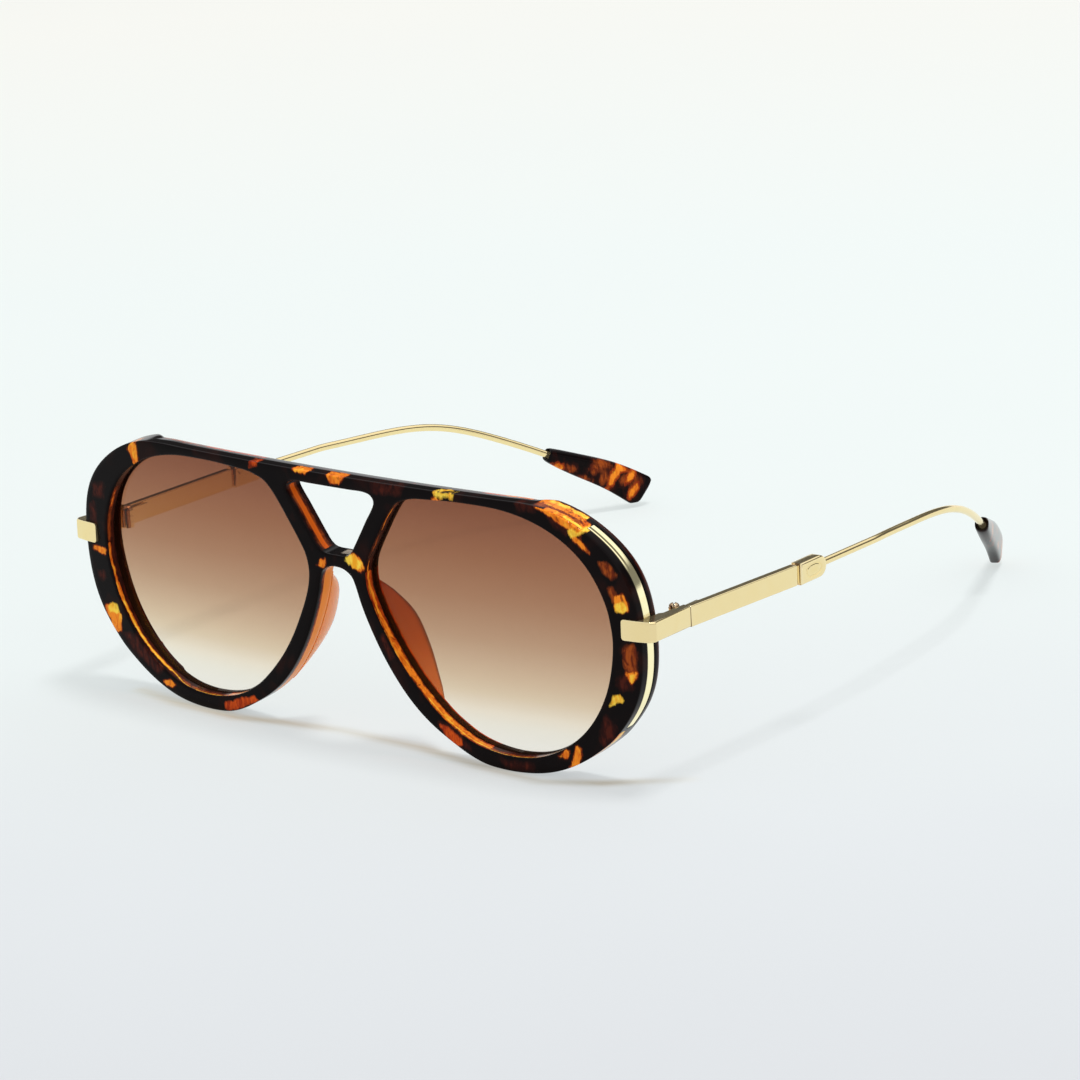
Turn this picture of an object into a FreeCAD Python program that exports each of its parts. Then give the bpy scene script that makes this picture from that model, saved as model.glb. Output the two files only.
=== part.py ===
import FreeCAD, Part
import math
import os
import Sketcher
from FreeCAD import Vector, Placement, Rotation

# Aviator sunglasses, millimetres.  +Z up, -Y is the front of the glasses, +X is the
# wearer's left.  The glasses stand open on a table (z = 0): the two rims and the two
# temple tips touch it.  x = 0 is the plane between the two halves, and y = 0 is half
# way between the front of the brow and the end of the temple tips.
#
# The front is modelled upright, with the front of its bend at y = 0, then leaned and
# moved.  On it, u runs along the bend from the middle plane and v runs up the front.

os.makedirs("parts", exist_ok=True)
doc = FreeCAD.newDocument("aviator_sunglasses")

# ---------------------------------------------------------------- driving sizes
SIZES = [
    ("origin_back", 76.65, "distance from the bridge's front foot back to the origin"),
    ("front_bend", 583.0, "bend radius of the front, seen from above"),
    ("front_tilt", 2.47, "lean of the front, top forward, degrees"),
    ("brow_depth", 4.6, "depth of the acetate at the brow, bridge and nose"),
    ("wing_depth", 6.1, "depth of the acetate at the outer wings"),
    ("wing_start", 46.9, "half width where the depth starts to grow"),
    ("wing_full", 49.6, "half width where the depth is full"),
    ("lens_recess", 2.3, "front of the lens behind the front face"),
    ("lens_thick", 1.6, "lens thickness"),
    ("lens_lip", 0.6, "how far the lens rim reaches into its groove"),
    ("lens_play", 0.05, "gap round the lens in its groove"),
    ("strip_recess", 1.85, "front of the inlaid strip behind the front face"),
    ("strip_width", 2.3, "width of the inlaid strip"),
    ("strip_deep", 0.8, "depth of the inlaid strip into the rim's edge"),
    ("strip_play", 0.03, "gap round the inlaid strip"),
    ("corner_y", 3.7, "endpiece corner behind the bridge's front foot"),
    ("corner_z", 32.0, "middle height of the endpiece at its corner"),
    ("arm_slope", 1.9, "downward slope of the endpiece, degrees"),
    ("endpiece_height", 3.95, "endpiece height"),
    ("hinge_x", 68.15, "hinge axis from the middle plane"),
    ("hinge_y", 14.4, "hinge axis behind the bridge's front foot"),
    ("hinge_low", 29.65, "lower face of the bottom knuckle"),
    ("hinge_high", 33.2, "upper face of the top knuckle"),
    ("knuckle_low", 30.87, "lower face of the temple knuckle"),
    ("knuckle_high", 32.03, "upper face of the temple knuckle"),
    ("knuckle_gap", 0.05, "gap above and below the temple knuckle"),
    ("knuckle_radius", 1.1, "outer radius of every knuckle"),
    ("leaf_thick", 0.78, "hinge leaf thickness"),
    ("screw_radius", 0.6, "hinge screw shank radius"),
    ("screw_play", 0.03, "radial play of the hinge screw"),
    ("screw_head_radius", 1.0, "hinge screw head radius"),
    ("screw_head_high", 0.85, "hinge screw head height"),
    ("bar_length", 32.5, "temple bar length"),
    ("bar_height", 4.05, "temple bar height"),
    ("bar_thick", 1.6, "temple bar thickness"),
    ("ferrule_length", 8.4, "ferrule length"),
    ("ferrule_height", 4.25, "ferrule height"),
    ("ferrule_thick", 2.6, "ferrule thickness"),
    ("neck_length", 0.6, "neck between bar and ferrule"),
    ("neck_height", 3.3, "neck height"),
    ("neck_thick", 1.0, "neck thickness"),
    ("wire_radius", 0.75, "temple wire radius"),
    ("wire_play", 0.02, "gap round the wire in the ferrule and the tip"),
    ("tip_thick", 2.5, "temple tip thickness at its end"),
    ("tip_height", 7.3, "temple tip height at its end"),
    ("pad_thick", 1.15, "greatest nose pad thickness at its free edge"),
    ("fixing_radius", 0.55, "endpiece screw shank radius"),
    ("fixing_head", 1.15, "endpiece screw head radius"),
    ("fixing_play", 0.03, "gap round the endpiece screw"),
    ("fixing_u", 66.0, "endpiece screw from the middle plane, along the bend"),
    ("fixing_v", 32.05, "endpiece screw height on the front"),
]
sheet = doc.addObject("Spreadsheet::Sheet", "sizes")
for row, (alias, value, note) in enumerate(SIZES, start=1):
    sheet.set("A%d" % row, alias)
    sheet.set("B%d" % row, repr(value))
    sheet.set("C%d" % row, note)
    sheet.setAlias("B%d" % row, alias)
doc.recompute()


def size(alias):
    return float(getattr(sheet, alias))


BEND = size("front_bend")
WING = size("wing_depth")
FRONT_TURN = Rotation(Vector(1, 0, 0), size("front_tilt"))
ORIGIN_SHIFT = Vector(0, -size("origin_back"), 0)
SIDES = (("left", 1), ("right", -1))     # the wearer's sides, and the sign of their x
FRONT_PAD = 60.0                         # depth of an outline before it is cut to the bend
PLAN_CUT = 240.0                         # height of the cuts drawn in plan

# ---------------------------------------------------------------- outlines
# Half outlines on the bent front: (u, v).
LENS_OPENING = [
    (18.5, 51.3), (20.2, 51.75), (24.6, 52.1), (29.4, 52.35), (34, 52.35), (38.6, 52.2),
    (42.3, 51.75), (46, 50.9), (49.4, 49.7), (52.4, 48.2), (55.3, 46.2), (57.7, 43.9),
    (59.6, 41.3), (61.1, 38.4), (62.2, 35.3), (62.7, 32.4), (62.9, 30), (62.8, 27.6),
    (62.2, 23.9), (61.1, 19.9), (59.6, 16.4), (57.6, 13.1), (55.2, 10.2), (52.5, 7.8),
    (49.5, 5.8), (46.2, 4.3), (43, 3.4), (39, 3.0), (35, 3.2), (31, 4.0),
    (28, 5.1), (26, 6.2), (23, 8.2), (20.3, 10.6), (17.7, 13.3), (15.3, 16.2),
    (12.8, 19.9), (10.4, 24.2), (8.5, 28.2), (7.5, 31), (7.05, 34), (7.5, 37),
    (9.0, 40), (11, 43.3), (13, 46.5), (15, 49.2), (16.6, 50.6)]
# from the brow, round the rim, to the foot of the nose arch
OUTER_SIDE = [
    (44.5, 54.0), (48.8, 53.65), (53.2, 52.5), (57, 50.8), (60.7, 48.4), (63.8, 45.6),
    (66, 42.7), (67.4, 39.8), (68.3, 36.6), (68.8, 33), (69.0, 29.2), (68.9, 25.8),
    (68.5, 22.5), (67.7, 19.3), (66.5, 16.4), (65, 13.9), (63.1, 11.4), (61, 9.1),
    (58.3, 6.9), (55.3, 4.8), (52.1, 3.0), (48.5, 1.5), (44.8, 0.55), (40.5, 0.07),
    (36, 0.07), (32, 0.55), (28.4, 1.8), (24.4, 3.9), (20.4, 6.4), (17.2, 9),
    (14.4, 12), (11.9, 15.4), (9.7, 19.0), (7.8, 22.8), (6.3, 26.3), (5.25, 29.3),
    (4.45, 32.2), (3.7, 34.0), (2.2, 35.1)]
BRIDGE_HOLE = [
    (0, 51.6), (5, 51.6), (8.6, 51.6), (10.0, 51.25), (10.75, 50.5), (10.8, 49.6),
    (10.1, 48.2), (8.7, 46.1), (6.9, 43.2), (5.2, 40.5), (4.1, 38.9), (3.0, 38.1),
    (1.6, 37.9), (0, 37.9)]
NOSE_ARCH = [(1.15, 35.42), (0, 35.5), (-1.15, 35.42)]   # (x, v), between the two sides
STRIP = [(57.9, 50.25)] + OUTER_SIDE[4:17]               # (x, v), down the rim's outer edge
NOSE_SIDE = OUTER_SIDE[24:]                              # nose side of the rim, going up


def bent(u, depth):
    """x and y of the point u along the front, at a depth behind its face."""
    radius = BEND - depth
    return radius * math.sin(u / BEND), BEND - radius * math.cos(u / BEND)


def bend_y(x, depth):
    """y of the bend at half width x and a depth behind the face."""
    return BEND - math.sqrt((BEND - depth) ** 2 - x * x)


def bend_x(points):
    return [(bent(u, 0)[0], v) for u, v in points]


def mirror(points, side):
    return [(side * x, y) for x, y in points]


def line(start, end):
    return Part.LineSegment(Vector(*start, 0), Vector(*end, 0))


def closed_spline(points):
    curve = Part.BSplineCurve()
    curve.interpolate(Points=[Vector(x, y, 0) for x, y in points], PeriodicFlag=True)
    return curve


def open_spline(points):
    curve = Part.BSplineCurve()
    curve.interpolate(Points=[Vector(x, y, 0) for x, y in points])
    return curve


def circle_at(x, y, radius):
    return Part.Circle(Vector(x, y, 0), Vector(0, 0, 1), radius)


def offset_points(points, distance, closed=True):
    """Points moved sideways by distance, to the outside of the loop where positive."""
    count = len(points)
    area = sum(points[i][0] * points[(i + 1) % count][1] - points[(i + 1) % count][0] * points[i][1]
               for i in range(count))
    turn = 1.0 if area > 0 else -1.0
    moved = []
    for i, (x, y) in enumerate(points):
        if closed:
            before, after = points[i - 1], points[(i + 1) % count]
        else:
            before, after = points[max(i - 1, 0)], points[min(i + 1, count - 1)]
        dx, dy = after[0] - before[0], after[1] - before[1]
        step = turn * distance / math.hypot(dx, dy)
        moved.append((x + step * dy, y - step * dx))
    return moved


def lengthened(run, extra):
    """An open run of points with both ends pushed out along the run."""
    longer = list(run)
    for end, inward in ((0, 1), (-1, -2)):
        x, y = run[end]
        dx, dy = x - run[inward][0], y - run[inward][1]
        share = extra / math.hypot(dx, dy)
        longer[end] = (x + dx * share, y + dy * share)
    return longer


# ---------------------------------------------------------------- helpers for bodies
def new_body(label):
    return doc.addObject("PartDesign::Body", label)


def new_sketch(body, name, role, offset=None):
    sketch = body.newObject("Sketcher::SketchObject", name)
    plane = next(f for f in body.Origin.OriginFeatures if f.Role == role)
    sketch.AttachmentSupport = [(plane, "")]
    sketch.MapMode = "FlatFace"
    if offset is not None:
        sketch.AttachmentOffset = Placement(Vector(0, 0, offset), Rotation())
    return sketch


def draw(sketch, curves):
    return [sketch.addGeometry(curve, False) for curve in curves]


def loop(sketch, curves):
    """Adds curves head to tail and ties their ends together."""
    ids = draw(sketch, curves)
    if len(ids) > 1:
        for one, following in zip(ids, ids[1:] + ids[:1]):
            sketch.addConstraint(Sketcher.Constraint("Coincident", one, 2, following, 1))
    return ids


def polygon(sketch, points):
    return loop(sketch, [line(a, b) for a, b in zip(points, points[1:] + points[:1])])


def constrain(sketch, name, bound, *constraint):
    """Adds a named constraint, bound to the sheet where an expression is given."""
    index = sketch.addConstraint(Sketcher.Constraint(*constraint))
    sketch.renameConstraint(index, name)
    if bound:
        sketch.setExpression("Constraints." + name, bound)


def rectangle(sketch, x_low, y_low, x_high, y_high, bound):
    """bound maps left, low, width and height to expressions, where they have one."""
    ids = polygon(sketch, [(x_low, y_low), (x_high, y_low), (x_high, y_high), (x_low, y_high)])
    for edge, kind in zip(ids, ("Horizontal", "Vertical", "Horizontal", "Vertical")):
        sketch.addConstraint(Sketcher.Constraint(kind, edge))
    for name, constraint in (
            ("left", ("DistanceX", -1, 1, ids[0], 1, x_low)),
            ("low", ("DistanceY", -1, 1, ids[0], 1, y_low)),
            ("width", ("DistanceX", ids[0], 1, ids[0], 2, x_high - x_low)),
            ("height", ("DistanceY", ids[1], 1, ids[1], 2, y_high - y_low))):
        constrain(sketch, name, bound.get(name), *constraint)


def centred_rectangle(sketch, width, height):
    """A rectangle about the origin; width and height are aliases."""
    x, y = size(width) / 2, size(height) / 2
    rectangle(sketch, -x, -y, x, y, {
        "left": "-sizes.%s / 2" % width, "low": "-sizes.%s / 2" % height,
        "width": "sizes." + width, "height": "sizes." + height})


def pad(body, sketch, length, name, symmetric=False, reverse=False, bound=None):
    feature = body.newObject("PartDesign::Pad", name)
    feature.Profile = sketch
    feature.Length = length
    feature.SideType = "Symmetric" if symmetric else "One side"
    feature.Reversed = reverse
    if bound:
        feature.setExpression("Length", bound)
    doc.recompute()
    return feature


def pocket(body, sketch, name, length):
    """A pocket reaching half its length to each side of the sketch."""
    before = body.Shape.Volume
    feature = body.newObject("PartDesign::Pocket", name)
    feature.Profile = sketch
    feature.Length = length
    feature.SideType = "Symmetric"
    doc.recompute()
    if not body.Shape.Volume < before - 1e-6:
        raise RuntimeError("pocket %s of %s cut nothing" % (name, body.Label))


def revolve(body, sketch, name):
    feature = body.newObject("PartDesign::Revolution", name)
    feature.Profile = sketch
    feature.ReferenceAxis = (sketch, ["V_Axis"])
    feature.Angle = 360.0
    doc.recompute()


def fillet(body, base, name, radius, chosen):
    """Rounds the edges of base for which chosen(edge) is true."""
    feature = body.newObject("PartDesign::Fillet", name)
    feature.Base = (base, ["Edge%d" % i for i, edge in enumerate(base.Shape.Edges, start=1)
                           if chosen(edge)])
    feature.Radius = radius
    doc.recompute()


def cut(label, base, tool):
    feature = doc.addObject("Part::Cut", label)
    feature.Base = base
    feature.Tool = tool
    doc.recompute()
    if not feature.Shape.Volume < base.Shape.Volume - 1e-9:
        raise RuntimeError("cut %s removed nothing" % label)
    return feature


def bent_cut(body, name, depth_bound, depth, behind):
    """Cuts away everything in front of, or behind, the sheet's bend at a given depth."""
    sketch = new_sketch(body, name + "_bend", "XY_Plane")
    radius = BEND - depth
    half = math.radians(9.0)
    x = radius * math.sin(half)
    y = BEND - radius * math.cos(half)
    far = 60.0 if behind else -30.0
    arc = Part.ArcOfCircle(circle_at(0, BEND, radius), -math.pi / 2 - half, -math.pi / 2 + half)
    ids = loop(sketch, [arc, line((x, y), (x, far)), line((x, far), (-x, far)),
                        line((-x, far), (-x, y))])
    sketch.addConstraint(Sketcher.Constraint("Vertical", ids[1]))
    sketch.addConstraint(Sketcher.Constraint("Horizontal", ids[2]))
    sketch.addConstraint(Sketcher.Constraint("Vertical", ids[3]))
    sketch.addConstraint(Sketcher.Constraint("PointOnObject", ids[0], 3, -2))
    constrain(sketch, "centre", "sizes.front_bend", "DistanceY", -1, 1, ids[0], 3, BEND)
    constrain(sketch, "bend", "sizes.front_bend - (%s)" % depth_bound, "Radius", ids[0], radius)
    constrain(sketch, "half", None, "DistanceX", -1, 1, ids[1], 2, x)
    constrain(sketch, "other_half", None, "DistanceX", ids[3], 1, -1, 1, x)
    constrain(sketch, "far", None, "DistanceY", -1, 1, ids[1], 2, far)
    pocket(body, sketch, name, PLAN_CUT)


def place_on_front(piece):
    """Leans the piece with the front and moves it so that the origin is mid length."""
    piece.Placement = Placement(ORIGIN_SHIFT, FRONT_TURN)
    piece.setExpression("Placement.Base.y", "-sizes.origin_back")
    piece.setExpression("Placement.Rotation.Angle", "sizes.front_tilt")


def front_placement(x, y, z):
    """Placement of a piece whose origin is at a point of the upright front."""
    return Placement(FRONT_TURN.multVec(Vector(x, y, z)) + ORIGIN_SHIFT, FRONT_TURN)


def bent_piece(label, curves, recess, thick, play=None):
    """An outline cut to two bends.  recess, thick and play are aliases; play is added
    to the front and to the back."""
    front, front_bound = size(recess), "sizes." + recess
    back, back_bound = front + size(thick), "%s + sizes.%s" % (front_bound, thick)
    if play:
        front -= size(play)
        front_bound += " - sizes." + play
        back += size(play)
        back_bound += " + sizes." + play
    body = new_body(label)
    sketch = new_sketch(body, label + "_outline", "XZ_Plane")
    loop(sketch, curves)
    pad(body, sketch, FRONT_PAD, label + "_pad", symmetric=True)
    bent_cut(body, label + "_front", front_bound, front, behind=False)
    bent_cut(body, label + "_back", back_bound, back, behind=True)
    place_on_front(body)
    return body


# ---------------------------------------------------------------- front frame
def brow_relief(body):
    """Planes the sheet down from behind between the wings, with a short ramp each side."""
    sketch = new_sketch(body, "brow_relief_outline", "XY_Plane")
    brow = size("brow_depth")
    start, full = size("wing_start"), size("wing_full")
    start_y, full_y = bend_y(start, brow), bend_y(full, WING)
    far = 30
    radius = BEND - brow
    half = math.asin(start / radius)
    corners = [(start, start_y), (full, full_y), (full, far),
               (-full, far), (-full, full_y), (-start, start_y)]
    arc = Part.ArcOfCircle(circle_at(0, BEND, radius), -math.pi / 2 - half, -math.pi / 2 + half)
    ids = loop(sketch, [arc] + [line(a, b) for a, b in zip(corners, corners[1:])])
    sketch.addConstraint(Sketcher.Constraint("PointOnObject", ids[0], 3, -2))
    for name, bound, constraint in (
            ("centre", "front_bend", ("DistanceY", -1, 1, ids[0], 3, BEND)),
            ("bend", "front_bend - sizes.brow_depth", ("Radius", ids[0], radius)),
            ("start", "wing_start", ("DistanceX", -1, 1, ids[1], 1, start)),
            ("start_other", "wing_start", ("DistanceX", ids[5], 2, -1, 1, start)),
            ("full", "wing_full", ("DistanceX", -1, 1, ids[2], 1, full)),
            ("full_other", "wing_full", ("DistanceX", ids[4], 2, -1, 1, full))):
        constrain(sketch, name, "sizes." + bound, *constraint)
    pocket(body, sketch, "brow_relief", PLAN_CUT)


def make_front_sheet():
    """The whole front before the lens grooves, strip grooves and screw seats are cut."""
    body = new_body("front_sheet")
    left_side = bend_x(OUTER_SIDE)
    right_side = mirror(left_side[::-1], -1)
    sketch = new_sketch(body, "front_outline", "XZ_Plane")
    loop(sketch, [line(right_side[-1], left_side[0]),
                  open_spline(left_side),
                  open_spline([left_side[-1]] + NOSE_ARCH + [right_side[0]]),
                  open_spline(right_side)])
    pad(body, sketch, FRONT_PAD, "front_pad", symmetric=True)
    bent_cut(body, "front_face", "0", 0.0, behind=False)
    bent_cut(body, "front_back", "sizes.wing_depth", WING, behind=True)
    brow_relief(body)

    # the small rounded triangular opening in the bridge
    hole = bend_x(BRIDGE_HOLE)
    openings = [("bridge_hole", hole + mirror(hole[-2:0:-1], -1))]
    openings += [("opening_" + name, mirror(bend_x(LENS_OPENING), side)) for name, side in SIDES]
    for name, points in openings:
        sketch = new_sketch(body, name + "_outline", "XZ_Plane")
        draw(sketch, [closed_spline(points)])
        pocket(body, sketch, name, FRONT_PAD)
    place_on_front(body)
    doc.recompute()
    return body


# ---------------------------------------------------------------- lenses and strips
STRIP_SUNK = 0.08        # outer face of the strip inside the rim's edge
STRIP_BREAKOUT = 1.2     # how far the strip's groove reaches out of the rim's edge


def lens_outline(side, reach):
    """The lens opening grown by reach."""
    return [closed_spline(mirror(offset_points(bend_x(LENS_OPENING), reach), side))]


def make_lens(side_name, side):
    """The lens and the tool for its groove."""
    lip = size("lens_lip")
    lens = bent_piece("lens_" + side_name, lens_outline(side, lip), "lens_recess", "lens_thick")
    groove = bent_piece("lens_groove_" + side_name, lens_outline(side, lip + size("lens_play")),
                        "lens_recess", "lens_thick", "lens_play")
    return lens, groove


def strip_outline(side, out, deep, longer=0.0):
    """A band along the rim's edge, from out outside it to deep inside it."""
    outer, inner = (
        mirror(lengthened(offset_points(STRIP, distance, closed=False), longer), side)
        for distance in (out, -deep))
    return [open_spline(outer), line(outer[-1], inner[-1]),
            open_spline(inner[::-1]), line(inner[0], outer[0])]


def make_strip(side_name, side):
    """The strip's blank and the tool for its groove."""
    deep, play = size("strip_deep"), size("strip_play")
    strip = bent_piece("trim_strip_blank_" + side_name, strip_outline(side, -STRIP_SUNK, deep),
                       "strip_recess", "strip_width")
    groove = bent_piece("strip_groove_" + side_name,
                        strip_outline(side, STRIP_BREAKOUT, deep + play, longer=play),
                        "strip_recess", "strip_width", "strip_play")
    return strip, groove


# ---------------------------------------------------------------- endpieces
# Plan of the endpiece, (x, y behind the bridge's front foot): a thin arm let into the
# front face, a bevelled corner, and a side running back to the hinge.
ENDPIECE_PLAN = [
    (65.3, 1.77), (68.6, 2.15), (71.2, 2.75), (72.0, 3.75), (70.93, 15.65),
    (69.33, 15.65), (69.33, 9.4), (68.82, 8.7), (68.82, 3.45), (65.3, 2.97)]
# Seat for the arm in the front face: open towards the front, just clear of the arm.
SEAT_PLAN = [
    (65.27, 1.0), (72.5, 1.0), (72.5, 16.0), (69.3, 16.0), (69.3, 9.42),
    (68.79, 8.73), (68.79, 3.48), (65.27, 3.0)]
SEAT_PLAY = 0.03         # gap above and below the endpiece in its seat

FIXING_X, FIXING_FACE_Y = bent(size("fixing_u"), 0)
FIXING_START = 0.02      # shank end in front of the front face's bend
# depths in front of the wing's rear face
CONE_START = 1.1
CONE_END = 0.55
HEAD_SUNK = 0.1
SLOT_FLOOR = 0.35
SLOT_LENGTH, SLOT_WIDTH = 3.0, 0.3


def endpiece_body(label, side, plan, play=0.0):
    corner_y = size("corner_y")
    body = new_body(label)
    sketch = new_sketch(body, label + "_plan", "XY_Plane")
    polygon(sketch, mirror([(x, y - corner_y) for x, y in plan], side))
    pad(body, sketch, size("endpiece_height") + 2 * play, label + "_pad", symmetric=True,
        bound="sizes.endpiece_height + %g" % (2 * play))
    body.Placement = Placement(Vector(0, corner_y, size("corner_z")) + ORIGIN_SHIFT,
                               Rotation(Vector(1, 0, 0), -size("arm_slope")))
    body.setExpression("Placement.Base.y", "sizes.corner_y - sizes.origin_back")
    body.setExpression("Placement.Base.z", "sizes.corner_z")
    return body


def fixing(label, side, head_end, play=0.0):
    """Countersunk screw, or its room, along the front's depth.  head_end is how far its
    rear end lies behind the wing's rear face."""
    shank = size("fixing_radius") + play
    head = size("fixing_head") + play
    front = FIXING_FACE_Y - FIXING_START - play
    wing_back = FIXING_FACE_Y + WING
    rear = wing_back + head_end
    body = new_body(label)
    sketch = new_sketch(body, label + "_half", "XY_Plane")
    polygon(sketch, [(0, front), (shank, front), (shank, wing_back - CONE_START),
                     (head, wing_back - CONE_END + play), (head, rear), (0, rear)])
    revolve(body, sketch, label + "_turned")
    body.Placement = front_placement(side * FIXING_X, 0, size("fixing_v"))
    return body


def make_fixing_slot(side_name, side):
    """The tool for the slot across the rear of the screw's head."""
    slot = doc.addObject("Part::Box", "endpiece_screw_slot_" + side_name)
    slot.Length, slot.Width, slot.Height = SLOT_LENGTH, 1.0, SLOT_WIDTH
    slot.Placement = front_placement(side * FIXING_X - SLOT_LENGTH / 2,
                                     FIXING_FACE_Y + WING - SLOT_FLOOR,
                                     size("fixing_v") - SLOT_WIDTH / 2)
    return slot


def make_endpiece(side_name, side, strip_blank):
    """Adds endpiece, its screw and the strip, and returns the tools for their seats."""
    blank = endpiece_body("endpiece_blank_" + side_name, side, ENDPIECE_PLAN)
    arm_seat = endpiece_body("endpiece_seat_" + side_name, side, SEAT_PLAN, SEAT_PLAY)
    # the arm's seat also cuts the strip where the arm passes over it
    name = "trim_strip_" + side_name
    pieces[name] = cut(name, strip_blank, arm_seat)

    play = size("fixing_play")
    screw = fixing("endpiece_screw_blank_" + side_name, side, -HEAD_SUNK)
    screw_seat = fixing("endpiece_screw_seat_" + side_name, side, 3.0, play)
    tap = fixing("endpiece_screw_tap_" + side_name, side, 0.0, play)
    name = "endpiece_" + side_name
    pieces[name] = cut(name, blank, tap)
    name = "endpiece_screw_" + side_name
    pieces[name] = cut(name, screw, make_fixing_slot(side_name, side))
    return [arm_seat, screw_seat]


# ---------------------------------------------------------------- nose pads
# Each pad is a thin curved blade: its root lies on the back of the rim's nose side and
# its free edge sweeps up to 5.6 mm behind it.
# Free edge: (u, v, depth behind the front face).
PAD_EDGE = [(5.64, 33.63, 3.59), (6.7, 29.32, 7.66), (9.04, 24.62, 10.1),
            (11.73, 18.6, 10.23), (15.33, 12.68, 7.98), (20.03, 7.52, 4.15)]
PAD_HEIGHTS = [31.9, 30.2, 27.8, 25.0, 22.0, 18.8, 15.6, 12.6, 10.6, 9.3]   # v of sections
PAD_EDGE_STEPS = 60
PAD_INSET = 0.12         # root's edge inside the rim's nose side
PAD_GAP = 0.02           # root behind the rim


def on_run(run, height, column):
    """Value in a column of a run of points at a height."""
    for start, end in zip(run, run[1:]):
        low, high = sorted((start[1], end[1]))
        if low <= height <= high and start[1] != end[1]:
            share = (height - start[1]) / (end[1] - start[1])
            return start[column] + share * (end[column] - start[column])
    raise RuntimeError("height off the run")


def pad_edge_run():
    curve = Part.BSplineCurve()
    curve.interpolate(Points=[Vector(*point) for point in PAD_EDGE])
    first, last = curve.FirstParameter, curve.LastParameter
    return [tuple(curve.value(first + (last - first) * i / PAD_EDGE_STEPS))
            for i in range(PAD_EDGE_STEPS + 1)]


def pad_section(side, height, edge_run):
    """Closed level section of the pad, as (u, depth) points laid on the bend."""
    root_depth = size("brow_depth") + PAD_GAP
    edge = on_run(edge_run, height, 0)
    edge_depth = on_run(edge_run, height, 2)
    reach = edge_depth - root_depth
    root = on_run(NOSE_SIDE, height, 0) + PAD_INSET
    root_far = root + min(2.1, 1.1 + reach * 0.35)
    edge_far = edge + size("pad_thick") * min(1.0, 0.55 + reach / 6.0)
    section = [
        (root, root_depth),
        (root * 0.45 + edge * 0.55 - 0.12, root_depth + reach * 0.6),
        (edge, edge_depth),
        (edge_far, edge_depth - reach * 0.10),
        (root_far * 0.45 + edge_far * 0.55 - 0.1, root_depth + reach * 0.5),
        (root_far, root_depth)]
    points = []
    for u, depth in section:
        x, y = bent(u, depth)
        points.append(Vector(side * x, y, height))
    return Part.makePolygon(points + [points[0]])


def make_nose_pad(side_name, side):
    edge_run = pad_edge_run()
    sections = [pad_section(side, height, edge_run) for height in PAD_HEIGHTS]
    nose_pad = doc.addObject("Part::Feature", "nose_pad_" + side_name)
    nose_pad.Shape = Part.makeLoft(sections, True, False)
    place_on_front(nose_pad)
    return nose_pad


# ---------------------------------------------------------------- hinges
# Hinge parts are drawn about the hinge axis.
LEAF_OUTER = 69.28 - size("hinge_x")             # outer face of both leaves
LEAF_INNER = LEAF_OUTER - size("leaf_thick")
LEAF_SHOULDER = 0.35                             # where the knuckle meets the outer face
FRONT_LEAF_END = -5.0
TEMPLE_LEAF_END = 6.4
TEMPLE_PLATE_START = 1.45
TEMPLE_PLATE_LIFT = 0.1                          # plate's foot above the bottom knuckle's
TEMPLE_PLATE_SHORT = 0.35                        # plate's height less than the hinge's
HINGE_HEIGHT = size("hinge_high") - size("hinge_low")
KNUCKLE_HEIGHT = size("knuckle_high") - size("knuckle_low")


def leaf_plan(sketch, side, end_y):
    """Plan of a leaf with its knuckle, as one loop round the axis at the origin."""
    radius = size("knuckle_radius")
    along = -1.0 if end_y < 0 else 1.0
    inner_y = along * math.sqrt(radius ** 2 - LEAF_INNER ** 2)
    points = mirror([(radius, 0.0), (LEAF_OUTER, along * LEAF_SHOULDER), (LEAF_OUTER, end_y),
                     (LEAF_INNER, end_y), (LEAF_INNER, inner_y),
                     (-radius * math.cos(0.3), -along * radius * math.sin(0.3))], side)
    plate, far_side = points[:-1], points[-1]
    arc = Part.Arc(Vector(*plate[-1], 0), Vector(*far_side, 0), Vector(*plate[0], 0))
    draw(sketch, [line(a, b) for a, b in zip(plate, plate[1:])] + [arc])


def screw_hole(body, name, play_share):
    """Hole for the hinge screw, with a share of its play."""
    sketch = new_sketch(body, name.replace("hole", "hole_outline"), "XY_Plane")
    radius = size("screw_radius") + size("screw_play") * play_share
    [ring] = draw(sketch, [circle_at(0, 0, radius)])
    constrain(sketch, "radius", "sizes.screw_radius + sizes.screw_play * %g" % play_share,
              "Radius", ring, radius)
    constrain(sketch, "across", None, "DistanceX", -1, 1, ring, 3, 0)
    constrain(sketch, "along", None, "DistanceY", -1, 1, ring, 3, 0)
    pocket(body, sketch, name, 20.0)


def place_on_hinge(body, side, foot, turn=Rotation()):
    """Moves the body to the hinge axis, with its origin at the height of the alias foot."""
    body.Placement = Placement(
        Vector(side * size("hinge_x"), size("hinge_y"), size(foot)) + ORIGIN_SHIFT, turn)
    body.setExpression("Placement.Base.x", "%d * sizes.hinge_x" % side)
    body.setExpression("Placement.Base.y", "sizes.hinge_y - sizes.origin_back")
    body.setExpression("Placement.Base.z", "sizes." + foot)


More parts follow.
